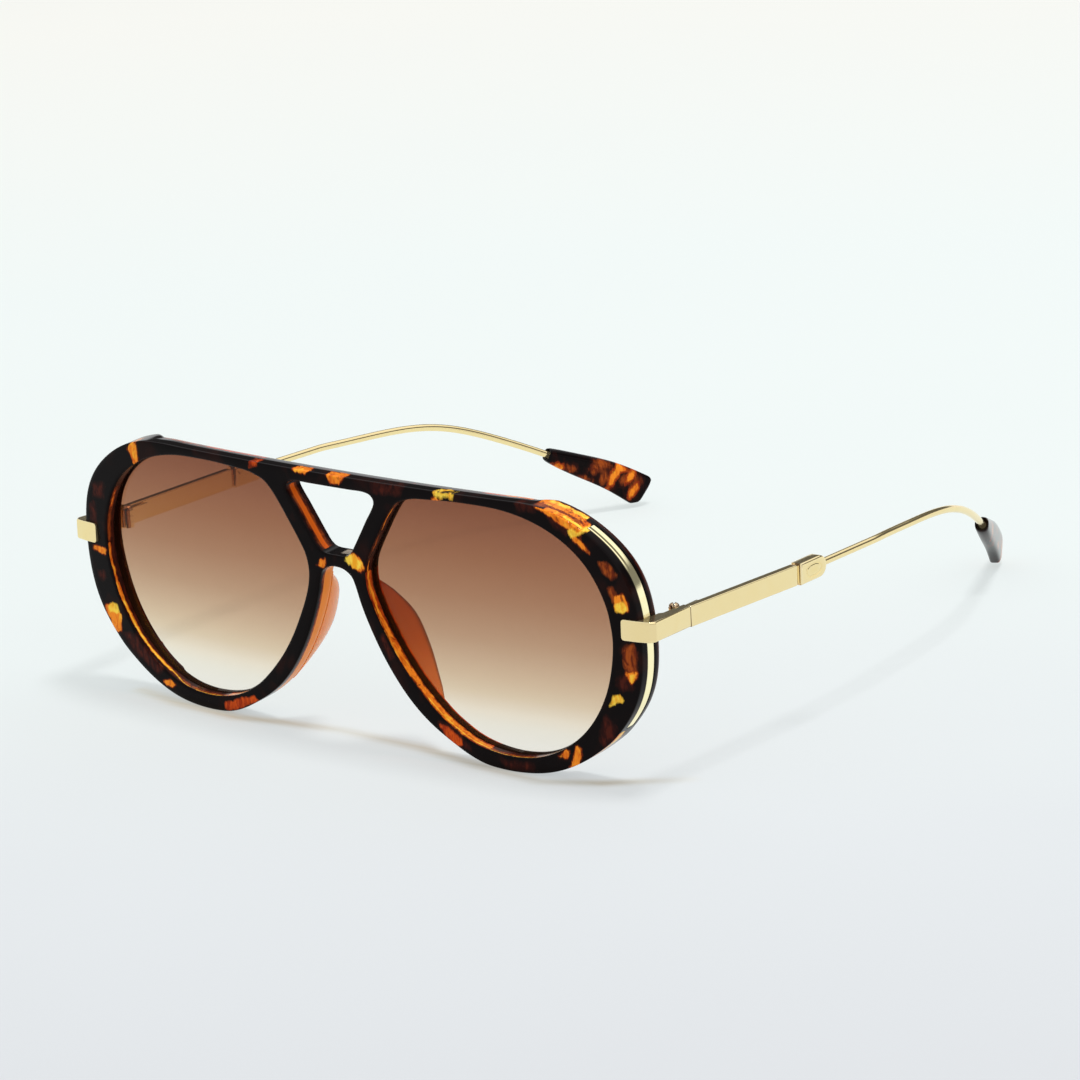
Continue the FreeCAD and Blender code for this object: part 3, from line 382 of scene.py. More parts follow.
# ------------------------------------------------------------------ materials
def tortoise(name, seed, sheen):
    """Acetate whose colours lie over one another where tortA and tortB say."""
    material, tree = new_material(name)
    mix, mask = tree.mix, tree.mask
    coords = tree.coords()
    shifted = tree.out("Mapping", {"Vector": coords, "Location": (seed, seed * 0.7, -seed * 0.4)})
    cover_a = tree.node("Attribute", attribute_name="tortA").outputs
    dark, brown, red = tree.split_colour(cover_a["Color"])
    orange, yellow, painted_reflection = tree.split_colour(tree.attribute("tortB"))

    # streaks lie along one slanted direction, as in rolled sheet
    grain = tree.out("Mapping", {"Vector": shifted, "Rotation": (0.0, 0.62, 0.0),
                                 "Scale": (1.0, 1.0, 0.38)})
    edges = tree.noise(grain, scale=760.0, rough=0.55, distortion=0.5)
    fine_edges = tree.noise(shifted, scale=2100.0, detail=4.0, rough=0.6, distortion=0.6)
    clouds = tree.noise(shifted, scale=150.0, detail=2.0, distortion=0.5)
    streaks = tree.noise(grain, scale=900.0, rough=0.55, distortion=0.8)
    flecks = tree.noise(grain, scale=520.0, detail=2.0, distortion=1.2)
    warp = tree.plus(tree.swing(edges, 0.85), tree.swing(fine_edges, 0.22))

    def cover(value, soft):
        return mask(tree.plus(value, warp), 0.5 - soft, 0.5 + soft)

    def streaked(low, high, deep, light):
        return mix(mask(streaks, low, high), deep, light)

    # near black with faint warm clouds
    colour = mix(clouds, (0.0032, 0.0024, 0.0028), (0.0075, 0.0045, 0.0042))
    colour = mix(mask(clouds, 0.54, 0.70), colour, (0.016, 0.0050, 0.0040))
    colour = mix(tree.times(cover(dark, soft=0.34), 0.85), colour,
                 streaked(0.42, 0.60, (0.030, 0.0058, 0.0045), (0.080, 0.013, 0.007)))
    colour = mix(cover(brown, soft=0.20), colour,
                 streaked(0.40, 0.60, (0.13, 0.019, 0.006), (0.36, 0.070, 0.011)))
    colour = mix(cover(red, soft=0.14), colour,
                 streaked(0.38, 0.60, (0.33, 0.030, 0.006), (0.66, 0.085, 0.009)))
    # a red fringe round the orange, which has light and dark flecks
    colour = mix(cover(tree.plus(orange, 0.09), soft=0.13), colour, (0.22, 0.026, 0.005))
    flecked = streaked(0.34, 0.56, (0.60, 0.105, 0.008), (0.88, 0.255, 0.019))
    flecked = mix(tree.times(mask(flecks, 0.60, 0.70), 0.75), flecked, (0.94, 0.46, 0.035))
    flecked = mix(tree.times(tree.minus(1.0, mask(flecks, 0.31, 0.38)), 0.75), flecked,
                  (0.17, 0.022, 0.006))
    colour = mix(cover(orange, soft=0.08), colour, flecked)
    colour = mix(cover(yellow, soft=0.12), colour,
                 streaked(0.36, 0.62, (0.86, 0.36, 0.018), (0.97, 0.66, 0.075)))
    # plain amber layers, deeper in colour high up
    upper = tree.slope(tree.split_xyz(coords)["Z"], gain=400.0, offset=-14.2)
    amber = mix(upper, mix(clouds, (0.72, 0.205, 0.022), (0.80, 0.255, 0.034)),
                mix(clouds, (0.62, 0.085, 0.006), (0.74, 0.135, 0.010)))
    amber_cover = mask(tree.plus(cover_a["Alpha"], tree.swing(edges, 0.10)), 0.42, 0.58)
    colour = mix(amber_cover, colour, amber)
    # a painted reflection: a pale patch on the saddle, where its upward face would mirror the
    # bright surroundings
    colour = mix(mask(painted_reflection, 0.42, 0.58), colour,
                 mix(streaks, (0.30, 0.25, 0.19), (0.50, 0.44, 0.36)))

    smear = tree.noise(coords, scale=90.0, detail=5.0, rough=0.65, distortion=1.2)

    def roughness():
        return tree.plus(0.05, tree.times(tree.calc("POWER", smear, 3.0), 0.16))

    fine = tree.noise(coords, scale=2600.0, detail=2.0)
    wave = tree.noise(coords, scale=60.0, detail=2.0)
    normal = tree.bump(tree.plus(tree.times(fine, 0.12), wave), strength=0.10, distance=0.12 * MM)
    # painted light: a trace of emitted glow in the orange and amber, as if lit from within
    glow = tree.times(tree.calc("MAXIMUM", cover(orange, soft=0.07), amber_cover), 0.10)
    acetate = tree.out("BsdfPrincipled", {
        "Base Color": colour, "Emission Color": colour, "Emission Strength": glow,
        "Roughness": roughness(), "Specular IOR Level": 0.0, "Normal": normal})
    gloss = tree.out("BsdfGlossy", {"Roughness": roughness(), "Normal": normal})
    # Schlick: weak head on, strong towards grazing
    facing = tree.node("LayerWeight", {"Blend": 0.5}).outputs["Facing"]
    reflect = tree.slope(tree.calc("POWER", facing, 5.0), gain=sheen, offset=0.005)
    tree.surface(tree.mix_shader(reflect, acetate, gloss))
    return material


def strip_shade_and_reflection(tree, colour):
    """Paints shade into the strip's seams and a dark reflection along its band, as its seam
    attribute says.
    """
    seam, middle, _ = tree.split_colour(tree.attribute("seam"))
    # painted dark reflection along the band near the top
    colour = tree.mix(tree.times(middle, 0.93), colour, (0.085, 0.065, 0.025))
    # painted shade along the seams where the strip runs into its slot
    return tree.mix(tree.times(seam, 0.95), colour, (0.020, 0.011, 0.006))


def painted_joint_shade(tree, colour, coords):
    """Paints shade as a thin dark line across each closed joint, where the gap between the parts
    lies in shadow.
    """
    y = tree.split_xyz(coords)["Y"]
    lines = []
    for place, half_width in ((15.70, 0.20), (48.30, 0.22)):
        away = tree.calc("ABSOLUTE", tree.minus(y, (place - FRONT_AHEAD) * MM))
        lines.append(tree.minus(1.0, tree.calc("DIVIDE", away, half_width * MM), clamp=True))
    joint_shade = tree.times(tree.calc("MAXIMUM", *lines), 1.6, clamp=True)
    # painted shade in the gaps at the two joints
    return tree.mix(joint_shade, colour, (0.16, 0.075, 0.020))


def gold(name, base, rough, glow, strip=False):
    """Metal with lengthwise lines, cloudy warmth and paler convex edges."""
    material, tree = new_material(name)
    coords = tree.coords()
    stretched = tree.out("Mapping", {"Vector": coords, "Scale": (1.0, 0.08, 1.0)})
    lines = tree.noise(stretched, scale=9000.0, rough=0.6)
    cloud = tree.noise(coords, scale=240.0, detail=4.0, rough=0.6, distortion=0.8)
    red, green, blue = base
    warm = tree.mix(cloud, base, (red * 0.985, green * 0.93, blue * 0.80))
    # paler where the surface is convex, as its pointiness says
    convex_edges = tree.mask(tree.node("NewGeometry").outputs["Pointiness"], 0.50, 0.56)
    colour = tree.mix(tree.times(convex_edges, 0.35), warm, (0.98, 0.90, 0.66))
    colour = strip_shade_and_reflection(tree, colour) if strip else painted_joint_shade(tree, colour, coords)
    # painted glow: the metal gives off light in its own colour, as much as the glow argument says
    tree.surface(tree.out("BsdfPrincipled", {
        "Base Color": colour, "Metallic": 1.0, "Emission Color": colour,
        "Emission Strength": glow,
        "Roughness": tree.plus(rough, tree.swing(cloud, 0.14, centre=0.35), clamp=True),
        "Normal": tree.bump(lines, strength=0.10, distance=0.02 * MM)}))
    return material


# height in mm, colour passed by the whole lens, from its clear foot to its dark top
LENS_TINT = [
    (5.0, (0.98, 0.93, 0.85)), (8.0, (0.962, 0.895, 0.785)), (10.5, (0.945, 0.83, 0.685)),
    (14.0, (0.81, 0.64, 0.465)), (17.0, (0.73, 0.535, 0.37)), (25.0, (0.535, 0.325, 0.205)),
    (33.0, (0.42, 0.208, 0.12)), (41.0, (0.338, 0.142, 0.075)), (46.5, (0.288, 0.109, 0.058)),
    (51.5, (0.235, 0.080, 0.041))]
TINT_SPAN = 56.0                           # height that the colour ramp covers


def lens_material(name):
    material, tree = new_material(name)
    coords = tree.coords()
    cloud = tree.noise(coords, scale=35.0, detail=2.0)
    height = tree.plus(tree.times(tree.split_xyz(coords)["Z"], 1000.0 / TINT_SPAN),
                       tree.swing(cloud, 0.02))
    # light crosses two faces, so each takes the square root of the tint
    tint = tree.ramp(height, [(z / TINT_SPAN, tuple(math.sqrt(v) for v in colour))
                              for z, colour in LENS_TINT])
    rim = tree.mask(tree.attribute("rim", "Fac"), 0.35, 0.9)
    clear = tree.out("BsdfTransparent", {"Color": tint})
    seam = tree.out("BsdfDiffuse", {"Color": (0.020, 0.010, 0.006)})
    body = tree.mix_shader(tree.times(rim, 0.85), clear, seam)
    smear = tree.noise(coords, scale=60.0, detail=5.0, rough=0.7, distortion=1.0)
    rough = tree.plus(0.015, tree.times(tree.calc("POWER", smear, 4.0), 0.10))
    gloss = tree.out("BsdfGlossy", {"Color": (1, 1, 1), "Roughness": rough})
    fresnel = tree.out("Fresnel", {"IOR": 1.38})
    outward = tree.minus(1.0, tree.node("NewGeometry").outputs["Backfacing"])
    tree.surface(tree.mix_shader(tree.times(tree.times(fresnel, 0.45), outward), body, gloss))
    return material


def amber_material(name):
    """Partly clear amber, browner where the edge attribute is high."""
    material, tree = new_material(name)
    coords = tree.coords()
    clouds = tree.noise(coords, scale=160.0, distortion=0.6)
    fine = tree.noise(coords, scale=520.0, distortion=0.2)
    colour = tree.mix(clouds, (0.74, 0.20, 0.018), (0.85, 0.29, 0.032))
    colour = tree.mix(tree.times(fine, 0.30), colour, (0.60, 0.13, 0.016))
    colour = tree.mix(tree.mask(tree.attribute("edge", "Fac"), 0.35, 0.95), colour,
                      (0.17, 0.095, 0.045))
    wave = tree.noise(coords, scale=110.0)
    # painted glow: the amber gives off light in its own colour, as if lit from within
    solid = tree.out("BsdfPrincipled", {
        "Base Color": colour, "Roughness": 0.12, "Subsurface Weight": 0.35,
        "Subsurface Radius": (0.004, 0.0012, 0.0003), "Subsurface Scale": 1.0,
        "Emission Color": colour, "Emission Strength": 0.17, "Specular IOR Level": 0.30,
        "Coat Weight": 0.05, "Coat Roughness": 0.05,
        "Normal": tree.bump(wave, strength=0.08, distance=0.2 * MM)})
    clear = tree.out("BsdfTransparent", {"Color": (0.85, 0.34, 0.08)})
    tree.surface(tree.mix_shader(0.20, solid, clear))
    return material


FRONT_ACETATE = tortoise("tortoise_front", seed=0.013, sheen=0.88)
TIP_ACETATE = tortoise("tortoise_tip", seed=0.29, sheen=1.25)
GOLD = gold("pale_gold", base=(0.90, 0.735, 0.385), rough=0.10, glow=0.06)
STRIP_GOLD = gold("strip_gold", base=(0.97, 0.90, 0.58), rough=0.09, glow=0.16, strip=True)
SCREW_GOLD = gold("screw_gold", base=(0.42, 0.26, 0.15), rough=0.22, glow=0.0)
LENS_GLASS = lens_material("gradient_tint")
PAD_ACETATE = amber_material("amber_acetate")

# ------------------------------------------------------------------ outlines of the front
# (arc, height) of the wearer's left half; the other half is its mirror image
LENS_OPENING = [
    (18.5, 51.3), (20.2, 51.75), (24.6, 52.1), (29.4, 52.35), (34, 52.35), (38.6, 52.2),
    (42.3, 51.75), (46, 50.9), (49.4, 49.7), (52.4, 48.2), (55.3, 46.2), (57.7, 43.9),
    (59.6, 41.3), (61.1, 38.4), (62.2, 35.3), (62.7, 32.4), (62.9, 30), (62.8, 27.6),
    (62.2, 23.9), (61.1, 19.9), (59.6, 16.4), (57.6, 13.1), (55.2, 10.2), (52.5, 7.8),
    (49.5, 5.8), (46.2, 4.3), (43, 3.4), (39, 3.0), (35, 3.2), (31, 4.0),
    (28, 5.1), (26, 6.2), (23, 8.2), (20.3, 10.6), (17.7, 13.3), (15.3, 16.2),
    (12.8, 19.9), (10.4, 24.2), (8.5, 28.2), (7.5, 31), (7.05, 34), (7.5, 37),
    (9.0, 40), (11, 43.3), (13, 46.5), (15, 49.2), (16.6, 50.6)]
OUTER_SIDE = [
    (44.5, 54.0), (48.8, 53.65), (53.2, 52.5), (57, 50.8), (60.7, 48.4), (63.8, 45.6),
    (66, 42.7), (67.4, 39.8), (68.3, 36.6), (68.8, 33), (69.0, 29.2), (68.9, 25.8),
    (68.5, 22.5), (67.7, 19.3), (66.5, 16.4), (65, 13.9), (63.1, 11.4), (61, 9.1),
    (58.3, 6.9), (55.3, 4.8), (52.1, 3.0), (48.5, 1.5), (44.8, 0.55), (40.5, 0.07),
    (36, 0.07), (32, 0.55), (28.4, 1.8), (24.4, 3.9), (20.4, 6.4), (17.2, 9),
    (14.4, 12), (11.9, 15.4), (9.7, 19.0), (7.8, 22.8), (6.3, 26.3), (5.25, 29.3),
    (4.45, 32.2), (3.7, 34.0), (2.2, 35.1)]
NOSE_SIDE = OUTER_SIDE[24:]                # the part of it beside the nose
BRIDGE_HOLE = [
    (0, 51.6), (5, 51.6), (8.6, 51.6), (10.0, 51.25), (10.75, 50.5), (10.8, 49.6),
    (10.1, 48.2), (8.7, 46.1), (6.9, 43.2), (5.2, 40.5), (4.1, 38.9), (3.0, 38.1),
    (1.6, 37.9), (0, 37.9)]
STRIP_TOP, STRIP_LOW = 50.25, 11.4
STRIP_MIN_ARC = 55.0


def mirrored(points):
    return [(-x, y) for x, y in reversed(points)]


def in_strip(point):
    return (abs(point[0]) > STRIP_MIN_ARC
            and STRIP_LOW + 0.05 < point[1] < STRIP_TOP - 0.05)


def sharpen_strip_ends(loop):
    """Adds close pairs of points where the strip's slot starts and stops."""
    out = []
    for a, b in zip(loop, np.roll(loop, -1, 0)):
        out.append(a)
        if in_strip(a) != in_strip(b):
            middle = 0.5 * (a + b)
            d = (b - a) / np.linalg.norm(b - a)
            out += [middle - 0.02 * d, middle + 0.02 * d]
    return np.array(out)


def slot_flags(loop):
    """Which points are in the slot; each of a close pair goes with its other neighbour."""
    flags = [in_strip(p) for p in loop]
    n = len(loop)
    for i in range(n):
        j = (i + 1) % n
        if np.linalg.norm(loop[i] - loop[j]) < 0.05:
            flags[i], flags[j] = flags[i - 1], flags[(j + 1) % n]
    return np.array(flags)


# material lies to the left of every loop: outer runs counter-clockwise, holes clockwise
outer_points = ([(x, BROW_TOP) for x in (-20, 0, 20, 38)] + OUTER_SIDE
                + [(1.15, 35.42), (0, 35.5), (-1.15, 35.42)]
                + mirrored(OUTER_SIDE) + [(-38, BROW_TOP)])
left_opening = spline(LENS_OPENING, 0.55, True)
OUTER = sharpen_strip_ends(oriented(spline(outer_points, 0.55, True), True))
LENS_LEFT = oriented(left_opening, False)
LENS_RIGHT = oriented(left_opening[::-1] * np.array([-1, 1]), False)
HOLE = oriented(spline(BRIDGE_HOLE + mirrored(BRIDGE_HOLE[1:-1]), 0.35, True), False)
IN_SLOT = slot_flags(OUTER)

# ------------------------------------------------------------------ front frame
# A wall profile runs from the front face's edge to the back's. Its rows are
# (inset into the material, face the distance is taken from, distance); the inset and
# the distance may be arrays with a value per point of the loop.
EDGE_ROUND = 0.32
ROUNDING = [(EDGE_ROUND * (1 - math.sin(a)), EDGE_ROUND * (1 - math.cos(a)))
            for a in (math.radians(30 * k) for k in range(4))]
FRONT_EDGE = [(inset, "front", depth) for inset, depth in ROUNDING]
SLOT_INSET, SLOT_START, SLOT_STOP = 0.84, 1.82, 4.18


def flare(arc):
    """How much wider the opening is behind the lens."""
    return 0.22 + 1.35 * smooth_step(abs(arc), 36.0, 52.0)


def back_edge(widening=0.0):
    return [(widening + inset, "back", distance) for inset, distance in reversed(ROUNDING)]


def outer_profile():
    """Wall with the slot for the strips and a larger rounding behind; the brow's rear is low."""
    crown = (smooth_step(OUTER[:, 1], 51.5, 52.7)
             * (1.0 - smooth_step(abs(OUTER[:, 0]), 46.0, 48.0)))
    wall = [(0.0, "front", depth) for depth in (0.75, 1.10, 1.45, SLOT_START)]
    wall += [
        (np.where(IN_SLOT, SLOT_INSET, 0.016 * crown), "front",
         np.where(IN_SLOT, SLOT_START, 2.1)),
        (np.where(IN_SLOT, SLOT_INSET, 0.08 * crown), "front",
         np.where(IN_SLOT, SLOT_STOP, 2.5)),
        (0.11 * crown, "front", np.where(IN_SLOT, SLOT_STOP, 2.70))]
    # inset, further inset at the brow, distance from the back
    rear = [(0.0, 0.14, 1.70), (0.02, 0.186, 1.30), (0.06, 0.21, 0.90), (0.15, 0.19, 0.55),
            (0.28, 0.14, 0.28), (0.46, 0.08, 0.10), (0.72, 0.0, 0.0)]
    return wall + [(inset + lowered * crown, "back", d) for inset, lowered, d in rear]


def lens_profile(loop):
    """Wall in front of the lens, shallow groove for it, wider opening behind it."""
    wide = flare(loop[:, 0])
    groove = 0.12
    wall = [(0.0, "front", depth)
            for depth in (0.5, 0.7, 0.9, 1.1, 1.35, 1.6, 1.85, 2.05, 2.2, 2.25)]
    wall += [(groove, "front", 2.27), (groove, "front", 3.93),
             (groove + 0.7 * (wide - groove), "front", 4.02), (wide, "front", 4.20)]
    return wall + back_edge(wide)


def hole_profile():
    depths = (0.6, 0.9, 1.1, 1.3, 1.8, 2.4, 2.8, 3.0, 3.2, 3.6, 4.0)
    return [(0.0, "front", depth) for depth in depths] + back_edge()


def add_wall(loop, profile, verts, faces):
    """Returns the first index of the first and last rings, and the flat loop to fill to."""
    normals = loop_normals(loop)
    count = len(loop)
    thickness = thickness_at(loop[:, 0])
    starts = []
    for inset, face, distance in FRONT_EDGE + profile:
        starts.append(len(verts))
        ring = loop + normals * np.broadcast_to(inset, count)[:, None]
        depths = np.broadcast_to(distance if face == "front" else thickness - distance, count)
        verts += [front_point(x, z, depth) for (x, z), depth in zip(ring, depths)]
    faces += bands(starts, count, order=(0, 3, 2, 1))
    return starts[0], starts[-1], loop + normals * EDGE_ROUND


def scatter(outer, openings):
    """Staggered grid of points over the front, clear of its edges."""
    columns = np.arange(-69, 69.5, 0.5)
    rows = np.arange(0, 54.5, 0.47)
    grid = np.array([(x + (0.25 if k % 2 else 0.0), z) for k, z in enumerate(rows)
                     for x in columns])
    grid = grid[in_region(outer, openings, grid)]
    keep = dist_to_loop(grid, outer) > 0.62
    for opening in openings:
        keep &= dist_to_loop(grid, opening) > 0.26
    return grid[keep]


def give_way(grid, lens_rings):
    """Shifts of the back's points away from the wider openings."""
    shift = np.zeros_like(grid)
    for ring in lens_rings:
        offsets = grid[:, None, :] - ring[None, :, :]
        distances = np.hypot(offsets[..., 0], offsets[..., 1])
        nearest = distances.argmin(1)
        rows = np.arange(len(grid))
        distance = distances[rows, nearest]
        push = flare(grid[:, 0]) * np.clip(1 - distance / 3.1, 0, 1)
        shift += offsets[rows, nearest] / np.maximum(distance, 1e-6)[:, None] * push[:, None]
    return shift


def front_frame():
    verts, faces = [], []
    walls = [add_wall(loop, profile, verts, faces) for loop, profile in (
        (OUTER, outer_profile()), (LENS_LEFT, lens_profile(LENS_LEFT)),
        (LENS_RIGHT, lens_profile(LENS_RIGHT)), (HOLE, hole_profile()))]
    points, edges, front_ids, back_ids = [], [], [], []
    for first, last, ring in walls:
        base, count = len(points), len(ring)
        points += [Vector((x, z)) for x, z in ring]
        edges += [(base + i, base + (i + 1) % count) for i in range(count)]
        front_ids += range(first, first + count)
        back_ids += range(last, last + count)
    outer, *openings = [ring for _, _, ring in walls]
    grid = scatter(outer, openings)
    for (x, z), (shift_x, shift_z) in zip(grid, give_way(grid, openings[:2])):
        points.append(Vector((x, z)))
        front_ids.append(len(verts))
        verts.append(front_point(x, z, 0.0))
        back_ids.append(len(verts))
        verts.append(front_point(x + shift_x, z + shift_z, thickness_at(x)))
    faces += fill_faces(points, edges, outer, openings, front_ids, back_ids)
    return add_part("front_frame_body", verts, faces, FRONT_ACETATE, "front",
                    "front_frame", sharp=50.0, merge=1e-7)


# ------------------------------------------------------------------ tortoise patches
PATCH_COLOURS = ("dark", "brown", "red", "orange", "yellow")
# outlines of the colour patches on the front face: (arc, height)
FACE_PATCHES = {
    "dark": [
        [(-66.2, 23.5), (-64.9, 23.9), (-64.6, 22.9), (-65.8, 22.2), (-66.5, 22.6)],
        [(-65.2, 42.1), (-62.1, 42.8), (-62.2, 40.1), (-65.3, 39.6)],
        [(-61.5, 11.7), (-57.6, 12.0), (-53.2, 8.4), (-49.7, 6.3), (-52.0, 5.0), (-57.3, 8.2)],
        [(11.1, 53.6), (18.2, 53.8), (17.6, 52.4), (10.9, 52.0)],
        [(44.3, 53.9), (47.8, 53.7), (48.2, 52.8), (45.1, 52.7)],
        [(51.2, 52.2), (52.9, 51.6), (55.3, 50.1), (55.0, 49.1), (52.5, 50.2)],
        [(64.4, 22.6), (65.6, 22.3), (66.2, 21.2), (66.8, 20.5), (64.1, 19.8), (63.1, 20.5)],
        [(60.4, 14.2), (61.2, 13.1), (62.3, 11.9), (61.5, 10.2), (59.6, 8.3), (58.6, 9.0),
         (59.3, 12.1)],
        [(21.9, 7.3), (24.3, 7.1), (27.1, 5.1), (28.5, 3.3), (25.0, 3.3)],
        [(-66.8, 37.5), (-65.4, 38.5), (-65.6, 34.0), (-66.9, 34.4)],
        [(36.0, 1.9), (43.0, 2.2), (43.0, 1.0), (37.0, 0.8)],
        [(9.4, 22.6), (11.4, 18.6), (12.2, 19.2), (10.2, 23.2)]],
    "brown": [
        [(61.5, 44.4), (63.0, 44.6), (64.2, 43.6), (65.1, 42.3), (64.2, 41.3), (62.4, 42.4)],
        [(62.9, 39.6), (64.0, 39.7), (64.7, 37.8), (63.8, 36.9)],
        [(65.4, 27.8), (66.2, 28.7), (67.7, 29.1), (68.1, 28.1), (67.6, 24.1), (67.4, 22.9),
         (66.0, 23.3), (65.2, 25.0)]],
    "red": [
        [(-33.2, 2.0), (-29.7, 3.5), (-24.9, 5.0), (-23.9, 4.4), (-27.1, 2.9), (-30.6, 1.3),
         (-33.4, 0.9)],
        [(-19.5, 53.8), (-17.9, 53.9), (-17.4, 53.3), (-19.6, 52.8)],
        [(22.1, 6.9), (23.8, 6.8), (26.4, 5.0), (27.0, 3.8), (25.3, 3.4), (23.3, 5.1)]],
    "orange": [
        [(-53.3, 51.5), (-52.2, 52.8), (-50.9, 53.0), (-50.9, 51.0), (-50.9, 49.4),
         (-52.0, 48.7), (-52.3, 49.8)],
        [(-67.1, 29.0), (-65.9, 29.1), (-63.2, 28.9), (-63.7, 27.8), (-65.8, 28.0),
         (-67.1, 28.4)],
        [(-65.5, 16.6), (-63.6, 17.2), (-62.3, 16.2), (-61.2, 15.3), (-61.6, 12.1),
         (-62.7, 11.7), (-64.0, 13.3), (-65.0, 15.2)],
        [(-50.5, 3.4), (-48.6, 4.1), (-47.3, 3.4), (-48.6, 2.6)],
        [(-8.6, 54.2), (-4.5, 54.3), (-5.4, 53.5), (-8.2, 53.6)],
        [(0.0, 54.1), (2.4, 54.2), (4.3, 54.1), (3.5, 53.1), (2.4, 52.4), (1.0, 52.6)],
        [(-4.5, 35.2), (-3.6, 36.3), (-2.5, 36.8), (-2.4, 35.9), (-2.6, 35.3), (-3.5, 35.0)],
        [(3.6, 38.2), (4.7, 38.9), (6.5, 38.0), (7.0, 36.1), (6.0, 35.5), (4.1, 36.3)],
        [(25.1, 52.3), (26.3, 52.6), (26.7, 52.1), (25.3, 51.9)],
        [(48.3, 53.8), (51.6, 53.8), (53.9, 53.3), (56.0, 52.3), (58.0, 51.0), (58.6, 50.3),
         (57.9, 49.2), (55.6, 50.2), (52.9, 51.6), (50.6, 52.9)],
        [(55.7, 49.4), (57.4, 48.6), (58.5, 47.2), (59.5, 46.0), (58.3, 46.8), (56.6, 48.0)],
        [(64.3, 38.0), (65.8, 38.5), (66.6, 37.1), (66.9, 35.7), (65.5, 35.2), (64.3, 35.8)],
        [(65.5, 23.3), (67.6, 23.7), (67.3, 22.5), (66.3, 21.4), (65.8, 22.3)],
        [(53.2, 7.2), (53.9, 6.8), (53.9, 5.2), (53.0, 3.1), (51.4, 2.6), (52.5, 5.0)],
        [(49.2, 4.7), (50.6, 6.0), (51.5, 6.0), (50.7, 4.7)]],
    "yellow": [
        [(-64.6, 16.6), (-63.3, 17.6), (-61.8, 17.5), (-61.6, 16.1), (-63.0, 15.5),
         (-64.5, 15.6)],
        [(2.8, 37.3), (3.9, 38.7), (5.1, 38.4), (6.5, 37.4), (6.6, 36.3), (5.3, 35.8),
         (3.6, 36.5)],
        [(25.7, 53.8), (28.1, 53.9), (30.3, 53.7), (30.0, 53.1), (27.7, 52.9), (25.9, 53.0)],
        [(55.3, 49.7), (56.4, 50.1), (57.5, 49.6), (58.6, 50.5), (58.8, 49.9), (57.4, 49.0),
         (55.8, 48.6)],
        [(64.3, 36.5), (65.9, 37.0), (66.7, 35.9), (66.0, 35.2), (64.5, 35.3)],
        [(66.1, 23.0), (67.2, 23.2), (66.9, 22.1), (66.3, 21.6)],
        [(61.3, 16.2), (62.0, 17.8), (62.7, 18.9), (63.6, 18.8), (64.3, 17.7), (63.3, 17.3),
         (62.2, 16.6)]],
}
# rounded patches on the back: arc, height, half length, half width, angle in degrees
BACK_PATCHES = {
    "dark": [(47.0, 53.0, 3.0, 0.8, -8), (-50.5, 51.0, 2.6, 1.0, 16)],
    "brown": [(-65.8, 30.5, 2.6, 1.0, 88), (-12.0, 17.2, 2.4, 0.9, 58),
              (0.0, 53.2, 3.0, 0.8, 0), (20.0, 9.0, 3.0, 0.9, -40),
              (66.6, 27.0, 2.8, 0.9, 90), (-20.0, 8.8, 2.4, 0.9, 42),
              (30.0, 3.2, 2.0, 0.8, -20)],
    "red": [(-36.5, 1.7, 3.6, 0.8, 0), (-64.5, 18.0, 2.4, 1.0, 60)],
    "orange": [(-60.5, 46.0, 3.2, 1.2, 42), (-58.5, 10.0, 3.4, 1.2, -45),
               (-38.0, 53.1, 3.6, 0.8, 0), (8.0, 25.5, 2.6, 0.8, -66),
               (22.0, 53.1, 3.2, 0.8, 0), (61.5, 45.0, 3.0, 1.1, -42),
               (61.0, 12.0, 2.8, 1.1, -128), (45.0, 2.0, 3.4, 0.8, 8)],
    "yellow": [(62.0, 44.4, 1.2, 0.6, -42)],
}


def face_cover(flat):
    """How far inside its patches each point is: about 0.5 on the edge, one per 1.6 mm."""
    cover = {colour: np.zeros(len(flat)) for colour in PATCH_COLOURS}
    for colour, outlines in FACE_PATCHES.items():
        for outline in map(np.array, outlines):
            low, high = outline.min(0) - 1.0, outline.max(0) + 1.0
            near = np.where(((flat > low) & (flat < high)).all(1))[0]
            if not len(near):
                continue
            d = dist_to_loop(flat[near], outline)
            within = np.where(inside(outline, flat[near]), d, -d) + 0.12
            cover[colour][near] = np.maximum(cover[colour][near],
                                             np.clip(0.5 + within / 1.6, 0, 1))
    return cover


def back_cover(flat):
    cover = {colour: np.zeros(len(flat)) for colour in PATCH_COLOURS}
    for colour, patches in BACK_PATCHES.items():
        for arc, height, half_length, half_width, angle in patches:
            c, s = math.cos(math.radians(angle)), math.sin(math.radians(angle))
            across, up = flat[:, 0] - arc, flat[:, 1] - height
            x, y = (across * c + up * s) / half_length, (-across * s + up * c) / half_width
            r = (np.abs(x) ** 2.6 + np.abs(y) ** 2.6) ** (1 / 2.6)
            cover[colour] = np.maximum(cover[colour], np.clip(1.0 - 0.5 * r, 0, 1))
    return cover


def write_tortoise(obj, cover):
    for name, colours in (("tortA", ("dark", "brown", "red", "amber")),
                          ("tortB", ("orange", "yellow", "painted_reflection"))):
        values = np.zeros((len(obj.data.vertices), 4))
        for i, colour in enumerate(colours):
            values[:, i] = cover.get(colour, 0.0)
        write_colours(obj.data, name, values)


def line(x, centre, half):
    """1 at the centre, 0.5 at the half width."""
    return np.clip(1.0 - 0.5 * np.abs(x - centre) / half, 0, 1)


def rise(x, middle, width):
    """From 0 to 1 over the width about the middle."""
    return np.clip(0.5 + (x - middle) / width, 0, 1)


